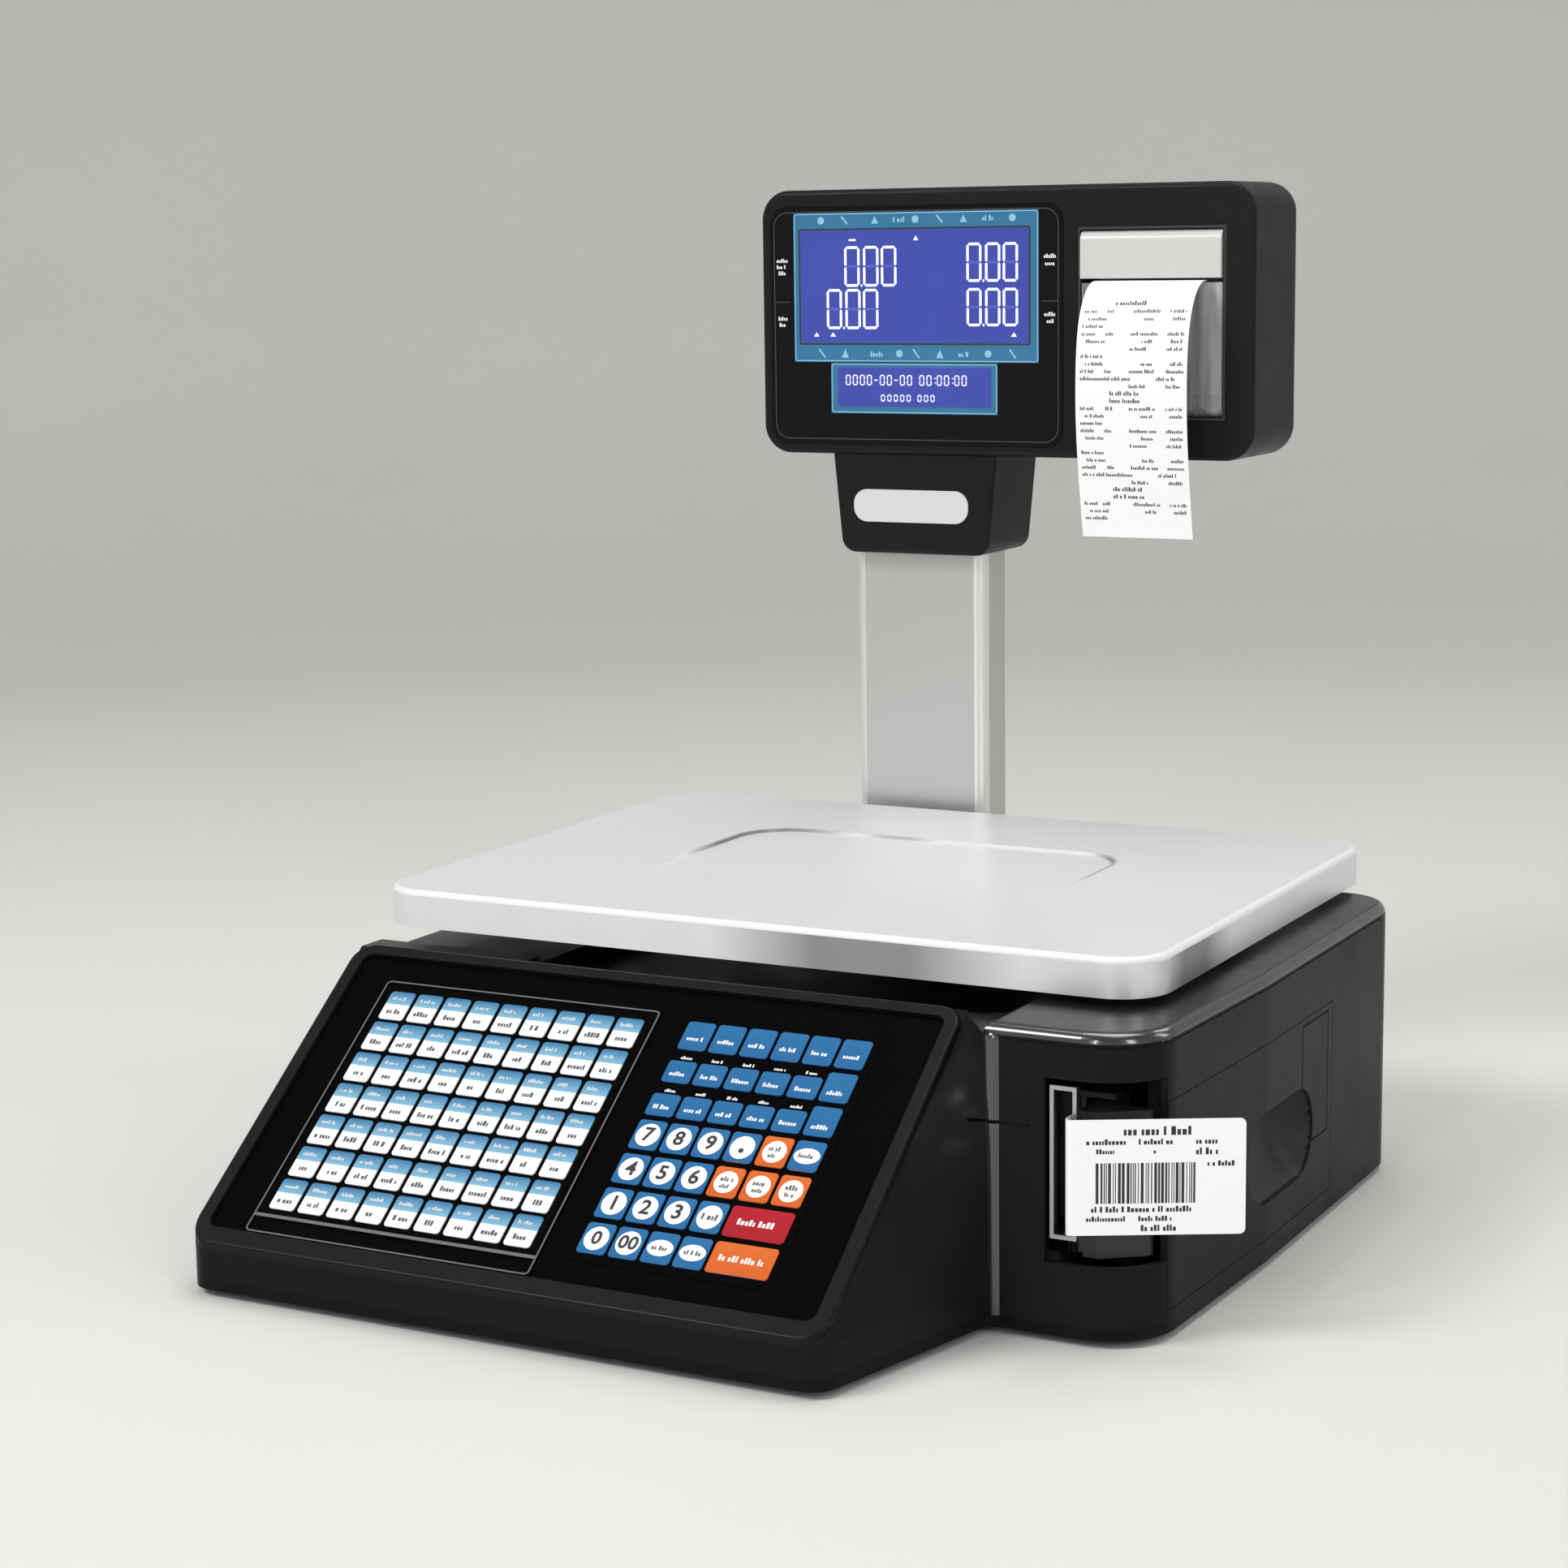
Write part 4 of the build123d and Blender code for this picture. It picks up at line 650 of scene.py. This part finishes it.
def key_legends():
    """White spots with figures on the number keys, and small print on the others."""
    spots, small = on_slope(KEY_TOP), on_slope(KEY_TOP)
    figures, dark = on_slope(SPOT_TOP), on_slope(SPOT_TOP)
    numbers = [(figure, column, row, 9.8) for row, line in ((3, "789"), (2, "456"), (1, "123"))
               for column, figure in enumerate(line)]
    for figure, column, row, size in numbers + [("0", 0, 0, 9.0), ("00", 1, 0, 9.0)]:
        u, v = key_middle(column, row)
        spots.disc(u, v, 5.6, 5.9)
        figures.text(figure, u, v, size)
    u, v = key_middle(3, 3)
    spots.disc(u, v, 5.6, 5.9)
    figures.disc(u, v - 1.6, 1.2)
    u, v = key_middle(3, 1)
    spots.disc(u, v, 5.6, 5.9)
    dark.words(u - 3.6, v - 1.3, 7.2, 3.0, 3)
    for column, row in ((4, 3), (3, 2), (4, 2), (5, 2)):
        u, v = key_middle(column, row)
        spots.disc(u, v, 5.3, 5.6)
        dark.words(u - 3.0, v + 0.4, 6.0, 2.4, column * 7 + row)
        dark.words(u - 2.2, v - 3.0, 4.6, 2.0, column * 5 + row)
    for column, row in ((5, 3), (2, 0), (3, 0)):
        u, v = key_middle(column, row)
        spots.disc(u, v, 6.0, 4.0)
        dark.words(u - 3.9, v - 1.1, 7.8, 2.2, column * 3 + row)
    u, v = key_middle(4, 1)
    small.words(u - 2.0, v - 1.4, 19.0, 3.0, 11)
    u, v = key_middle(4, 0)
    small.words(u - 3.0, v - 1.4, 21.0, 3.0, 12)
    for row in (4, 5, 6):
        foot, short = KEY_V + row * KEY_PITCH_V, row < 6
        for column in range(6):
            u = KEY_U + column * KEY_PITCH_U + 2.6
            small.words(u, foot + (3.6 if short else 5.0), 8.0, 2.2, 40 + row * 6 + column)
            if short and column < 5:
                small.words(u + 1.4, foot + SHORT_KEY + 1.5, 5.4, 1.6, 90 + row * 6 + column, low=-0.6)
    spots.piece("key_white_spots", "white_ink", "base")
    figures.piece("key_figures", "black_ink", "base")
    dark.piece("key_dark_print", "grey_ink", "base")
    small.piece("key_light_print", "white_ink", "base")


def article_key_print():
    """Small print on every article key, on its white half and on its blue band."""
    lower, upper = on_slope(CARD_TOP, 0.04), on_slope(CARD_TOP, 0.04)
    for column in range(HOT_COLUMNS):
        for row in range(HOT_ROWS):
            u, v = HOT_U + column * HOT_PITCH_U, HOT_V + row * HOT_PITCH_V
            rng = random.Random(column * 17 + row)
            width = rng.uniform(4.0, 8.4)
            start = u + (HOT_KEY_U - width) / 2
            lower.words(start, v + 3.4, width, 2.6, column * 31 + row)
            upper.words(u + 2.2, v + 11.2, rng.uniform(5.0, 8.0), 1.9, column * 13 + row + 400)
    lower.piece("article_key_dark_print", "grey_ink", "base")
    upper.piece("article_key_light_print", "white_ink", "base")


def pocket_trim():
    """Welded edge of the clear pocket and its open lip along the foot."""
    lip = on_slope(POCKET_TOP, 0.12)
    lip.bar(-167.6, -25.4, 14.6, 16.2, radius=0.4)
    lip.ring(-168, -25, 6.5, 148, 2.2, 0.7)
    lip.piece("pocket_edge", "pale_ink", "base")


# ---- displays --------------------------------------------------------------
def zero(plate, ghost, a, b, width, height, thick):
    """A seven-segment zero; its middle segment, which is off, goes on the ghost plate."""
    gap, half, middle = thick * 0.13, thick / 2, b + height / 2
    right, top = a + width, b + height

    def level(y):
        return [(a + half + gap, y), (a + thick + gap, y - half), (right - thick - gap, y - half),
                (right - half - gap, y), (right - thick - gap, y + half), (a + thick + gap, y + half)]

    def stand(x, low, high):
        return [(x, low + gap), (x + half, low + half + gap), (x + half, high - half - gap),
                (x, high - gap), (x - half, high - half - gap), (x - half, low + half + gap)]

    shapes = {"a": level(top - half), "g": level(middle), "d": level(b + half),
              "b": stand(right - half, middle, top - half), "c": stand(right - half, b + half, middle),
              "f": stand(a + half, middle, top - half), "e": stand(a + half, b + half, middle)}
    for key, shape in shapes.items():
        (ghost if key == "g" else plate).add(shape)


def reading(plate, ghost, a0, a1, b0, b1):
    """A zero value with two decimals, between two edges."""
    width = (a1 - a0 - 3.2) / 3
    starts = (a0, a0 + width + 1.9, a0 + 2 * width + 3.2)
    for start in starts:
        zero(plate, ghost, start, b0, width, b1 - b0, 1.35)
    plate.bar(a0 + width + 0.5, a0 + width + 1.5, b0, b0 + 1.2)


def small_reading(plate, ghost, line, a, b, width, height):
    """A short row of small zeros; colons and dashes are thin marks."""
    for figure in line:
        if figure == ":":
            plate.bar(a + 0.5, a + 1.1, b + height * 0.22, b + height * 0.22 + 0.6)
            plate.bar(a + 0.5, a + 1.1, b + height * 0.64, b + height * 0.64 + 0.6)
            a += 1.7
        elif figure == "-":
            plate.bar(a + 0.2, a + width * 0.75, b + height / 2 - 0.3, b + height / 2 + 0.3)
            a += width + 0.4
        elif figure == " ":
            a += width
        else:
            zero(plate, ghost, a, b, width, height, 0.62)
            a += width + 1.15


def displays():
    """Lit glass, figures and printed marks of the operator's displays."""
    glass = on_head(LCD_Y, 0.1)
    glass.bar(*MAIN_GLASS, radius=1)
    glass.bar(*LINE_GLASS, radius=0.8)
    glass.piece("display_glass", "lcd_active", "base")
    rims = on_head(LCD_Y, 0.16)
    rims.ring(-117, 13, 391, 450, 1.5, 0.8)
    rims.piece("display_glass_edge", "black_ink", "base")
    lit, off, marks = on_head(LCD_Y - 0.1), on_head(LCD_Y - 0.1), on_head(LCD_Y)
    for edges in ((-90.7, -61, 420.5, 441), (-22, 6.3, 422.5, 442), (-101, -71.4, 399, 419.4),
                  (-22, 6.3, 400.4, 419.5)):
        reading(lit, off, *edges)
    for a in (-107, -97.5, 4):
        lit.add([(a - 1.6, 395.2), (a + 1.6, 395.2), (a, 397.4)])
    lit.add([(-51.6, 443.6), (-48.6, 443.6), (-50.1, 446)])
    lit.bar(-88, -84, 443.6, 444.6)
    small_reading(lit, off, "0000-00-00 00:00:00", -90.5, 370.4, 2.9, 5.4)
    small_reading(lit, off, "00000 000", -70.5, 362.2, 2.5, 3.6)
    for band, (low, high) in enumerate(((452.2, 456), (384.4, 388.8))):
        for index in range(9):
            a = -104 + index * 13.4 + (4 if index in (2, 3) else 0)
            kind = (index + band) % 4
            if kind == 0:
                marks.disc(a, (low + high) / 2, 1.9, steps=16)
            elif kind == 1:
                marks.stroke(a - 1.6, high, a + 1.8, low, 0.9)
            elif kind == 2:
                marks.add([(a - 2, low), (a + 2, low), (a, high)])
            else:
                marks.words(a - 3, low + 0.6, 7, 2.6, index + band * 9)
    marks.ring(-119.6, 17.1, 382.6, 457.6, 1.6, 0.5)
    marks.ring(-98.6, -5.4, 356.4, 381.4, 1.6, 0.5)
    lit.piece("display_figures", "lcd_ink", "base")
    off.piece("display_dim_segments", "lcd_ghost", "base")
    marks.piece("display_marks", "lcd_mark", "base")


def window_print():
    """Fine outline and small marks printed on the dark window."""
    front, marks = on_head(WINDOW_Y), on_head(WINDOW_Y)
    front.ring(-131.2, 28.4, 342.6, 458.6, 7.5, 0.45)
    front.bar(-131, -121.5, 412.6, 413.0)
    front.bar(19.5, 28.2, 412.6, 413.0)
    front.piece("window_outline", "dim_ink", "base")
    for index, (a, z, width) in enumerate(((-129.6, 433, 6.4), (-129.6, 429.8, 5), (-128.6, 426.6, 4),
                                           (-129, 403.4, 5.4), (-128.4, 400.2, 3.6), (20.4, 434, 7),
                                           (21, 430.4, 6), (20.6, 405.4, 6.6), (22, 402, 4.4))):
        marks.words(a, z, width, 2.0, 70 + index)
    marks.piece("window_marks", "white_ink", "base")


def rear_display():
    """Lit glass and figures on the customer's side of the head."""
    across, up = (-1, 0, 0), (0, 0, 1)
    glass = Plate((0, REAR_LCD_Y, 0), across, up, 0.1)
    glass.bar(*REAR_GLASS, radius=1)
    glass.piece("rear_display_glass", "lcd_active", "base")
    lit, off = (Plate((0, REAR_LCD_Y + 0.1, 0), across, up) for _ in range(2))
    for edges in ((12, 42, 416, 437), (68, 98, 416, 437), (12, 42, 390, 411), (68, 98, 390, 411)):
        reading(lit, off, *edges)
    lit.piece("rear_display_figures", "lcd_ink", "base")
    off.piece("rear_display_dim_segments", "lcd_ghost", "base")


# ---- paper -----------------------------------------------------------------
def receipt_print():
    """Rows of print that follow the hanging receipt."""
    strip = NODES["receipt_strip"]
    tree = BVHTree.FromPolygons([v.co for v in strip.data.vertices],
                                [list(p.vertices) for p in strip.data.polygons])
    flat = Plate((0, 0, 0), (1, 0, 0), (0, 0, 1))
    rng = random.Random(5)
    z, index = RECEIPT_TOP, 0
    while z > RECEIPT_FOOT:
        style = index % 13
        if style in (0, 12):
            flat.words(66, z, 16, 2.1, index)
        elif style in (1, 4, 9):
            flat.words(50.5, z, 7, 1.7, index)
            flat.words(60 + rng.uniform(0, 4), z, 4, 1.7, index + 50)
            flat.words(76, z, 14, 1.8, index + 90)
            flat.words(95, z, 9, 1.7, index + 130)
        elif style in (3, 7):
            flat.words(50.5, z, 12, 1.8, index)
        elif style in (2, 5, 8):
            flat.words(53, z, 10, 1.7, index)
            flat.words(82, z, 6, 1.7, index + 50)
            flat.words(97, z, 6.5, 1.8, index + 90)
        elif style == 10:
            flat.words(50.5, z, 26, 1.8, index)
            flat.words(90, z, 10, 1.8, index + 40)
        else:
            flat.words(76, z, 9, 1.7, index)
            flat.words(95, z, 8, 1.7, index + 60)
        z -= RECEIPT_PITCH
        index += 1
    plane_y = place(0, 0, 0).y
    for i, v in enumerate(flat.vertices):
        paper_point = tree.ray_cast(Vector((v.x, -1.0, v.z)), Vector((0, 1, 0)))[0]
        if paper_point:
            flat.vertices[i] = Vector((v.x, paper_point.y + (v.y - plane_y), v.z))
    flat.piece("receipt_print", "grey_ink", "receipt_strip")


def label_print():
    """Bar code and rows of print on the label that stands out of the slot."""
    c, s = math.cos(LABEL_HEADING), math.sin(LABEL_HEADING)
    plate = Plate((LABEL_TIP[0], LABEL_TIP[1], 0), (c, s, 0), (0, 0, 1), 0.05)
    rng = random.Random(9)
    a, end, foot, top = BARCODE
    while a < end:
        width = rng.choice((0.35, 0.5, 0.8, 1.15))
        plate.bar(a, a + width, foot, top)
        a += width + rng.choice((0.4, 0.5, 0.8))
    rows = ((-49, 89.4, 27, 3.6), (-64, 85.6, 16, 2.3), (-43, 85.6, 14, 2.3), (-20, 85.6, 9, 2.4),
            (-60, 81.8, 8, 2), (-37, 81.8, 1.6, 1.8), (-20, 81.2, 9, 2.8), (-15.4, 76.4, 11, 2.2),
            (-62, 57.6, 41, 2.4), (-64, 53.8, 16, 2.1), (-43, 53.8, 14, 2.1), (-42, 49.6, 16, 2.6))
    for index, (a, b, width, height) in enumerate(rows):
        plate.words(a, b, width, height, index + 1)
    plate.piece("label_print", "black_ink", "cassette")


# ---- small hardware --------------------------------------------------------
def screw_head(name, centre, out, radius):
    """A domed screw head with a cross recess, standing on a surface."""
    out = Vector(out).normalized()
    side = out.orthogonal().normalized()
    other = out.cross(side)
    rings = ((0.98, 0.0), (1.0, 0.18), (0.94, 0.36), (0.7, 0.5), (0.4, 0.56))
    vertices, faces, count = [], [], 32
    for scale, height in rings:
        for i in range(count):
            t = 2 * math.pi * i / count
            deep = 0.34 if scale <= 0.4 and i % 8 in (0, 1, 7) else 0.0
            offset = (side * math.cos(t) + other * math.sin(t)) * scale * radius
            offset += out * (height - deep) * radius
            vertices.append(place(*(Vector(centre) + offset)))
    vertices.append(place(*(Vector(centre) + out * 0.2 * radius)))
    for r in range(len(rings) - 1):
        for i in range(count):
            j = (i + 1) % count
            faces.append([r * count + i, r * count + j, (r + 1) * count + j, (r + 1) * count + i])
    last = (len(rings) - 1) * count
    faces += [[last + i, last + (i + 1) % count, len(vertices) - 1] for i in range(count)]
    faces.append([i for i in reversed(range(count))])
    mesh = bpy.data.meshes.new(name)
    mesh.from_pydata(vertices, [], faces)
    mesh.materials.append(MATERIALS["steel"])
    made = bpy.data.objects.new(name, mesh)
    bpy.context.scene.collection.objects.link(made)
    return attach(made, "base")


def hardware():
    """Screws that hold the connector plate."""
    for index, (x, z) in enumerate(((25.4, 27.4), (178.6, 27.4), (25.4, 62.6), (178.6, 62.6))):
        screw_head(f"plate_screw_{index + 1}", (x, 127.4, z), (0, 1, 0), 1.7)


split_looks("hot_keys", ("panel", "hot_card"), card_side)
split_looks("function_keys", ("panel", "key_blue", "key_orange", "key_red"), key_colour)
key_legends()
article_key_print()
pocket_trim()
displays()
window_print()
rear_display()
receipt_print()
label_print()
hardware()


# ---- stage, light and camera -----------------------------------------------
FLOOR_PROFILE = ((1.2, 0.0), (2.0, 0.0), (2.4, 0.04), (2.7, 0.16), (2.9, 0.36), (3.02, 0.7), (3.08, 1.2),
                 (3.1, 4.0))            # radius and height, in metres
FLOOR_SIDES = 96


def floor():
    """Plain pale floor that curves up into a round wall, so that it looks the same from every side."""
    vertices, faces = [(0.0, 0.0, 0.0)], []
    for radius, height in FLOOR_PROFILE:
        for i in range(FLOOR_SIDES):
            t = 2 * math.pi * i / FLOOR_SIDES
            vertices.append((radius * math.cos(t), radius * math.sin(t), height))
    for i in range(FLOOR_SIDES):
        faces.append([0, 1 + i, 1 + (i + 1) % FLOOR_SIDES])
    for ring in range(len(FLOOR_PROFILE) - 1):
        inner = 1 + ring * FLOOR_SIDES
        outer = inner + FLOOR_SIDES
        for i in range(FLOOR_SIDES):
            j = (i + 1) % FLOOR_SIDES
            faces.append([inner + i, outer + i, outer + j, inner + j])
    mesh = bpy.data.meshes.new("floor")
    mesh.from_pydata(vertices, [], faces)
    for face in mesh.polygons:
        face.use_smooth = True
    m = Nodes("floor_pale")
    m.link(m.mix(m.noise(2, 3), (0.63, 0.625, 0.61), (0.66, 0.655, 0.64)), m.shader.inputs["Base Color"])
    m.link(m.span(m.noise(5, 3), 0.3, 0.7, 0.7, 0.8), m.shader.inputs["Roughness"])
    m.set(Specular_IOR_Level=0.2)
    mesh.materials.append(m.material)
    made = bpy.data.objects.new("floor", mesh)
    bpy.context.scene.collection.objects.link(made)


def soft_box(name, at, aim_height, size, power):
    """A white rectangular light, aimed at a point above the origin."""
    data = bpy.data.lights.new(name, "AREA")
    data.shape, data.size, data.size_y = "RECTANGLE", size[0], size[1]
    data.energy = power
    made = bpy.data.objects.new(name, data)
    made.location = at
    made.rotation_mode = "QUATERNION"
    made.rotation_quaternion = (Vector((0, 0, aim_height)) - Vector(at)).to_track_quat("-Z", "Y")
    bpy.context.scene.collection.objects.link(made)


def studio():
    """Soft lights on every side, in metres and watts, and an even white surround."""
    soft_box("key_light", (-1.15, -1.6, 2.0), 0.15, (1.0, 0.8), 36)
    soft_box("fill_light", (1.9, -1.2, 1.1), 0.2, (0.4, 1.4), 11)
    soft_box("top_light", (0.1, 0.3, 2.3), 0.1, (1.6, 1.2), 24)
    soft_box("rim_light", (1.8, 1.0, 1.2), 0.25, (0.4, 1.2), 6)
    soft_box("strip_light", (0.15, -2.0, 0.95), 0.15, (0.1, 1.2), 7)
    soft_box("back_light", (0.9, 1.9, 2.0), 0.2, (0.8, 0.8), 6)
    world = bpy.data.worlds.new("studio")
    world.use_nodes = True
    background = world.node_tree.nodes["Background"]
    background.inputs["Color"].default_value = (1, 1, 1, 1)
    background.inputs["Strength"].default_value = 0.32
    bpy.context.scene.world = world
    bpy.context.scene.view_settings.view_transform = "Standard"


def camera():
    """The photograph's view: from the operator's right and a little above."""
    eye, aim = place(654.56, -1336.13, 442.49), place(-52.9, 0, 186.9)
    back = (eye - aim).normalized()
    right = Vector((0, 0, 1)).cross(back).normalized()
    up = back.cross(right)
    roll = math.radians(-0.8)
    tilted_right = right * math.cos(roll) + up * math.sin(roll)
    tilted_up = up * math.cos(roll) - right * math.sin(roll)
    data = bpy.data.cameras.new("camera")
    data.lens, data.sensor_width = 73.3, 36
    made = bpy.data.objects.new("camera", data)
    made.matrix_world = Matrix((
        (tilted_right.x, tilted_up.x, back.x, eye.x),
        (tilted_right.y, tilted_up.y, back.y, eye.y),
        (tilted_right.z, tilted_up.z, back.z, eye.z),
        (0, 0, 0, 1)))
    bpy.context.scene.collection.objects.link(made)
    bpy.context.scene.camera = made


floor()
studio()
camera()
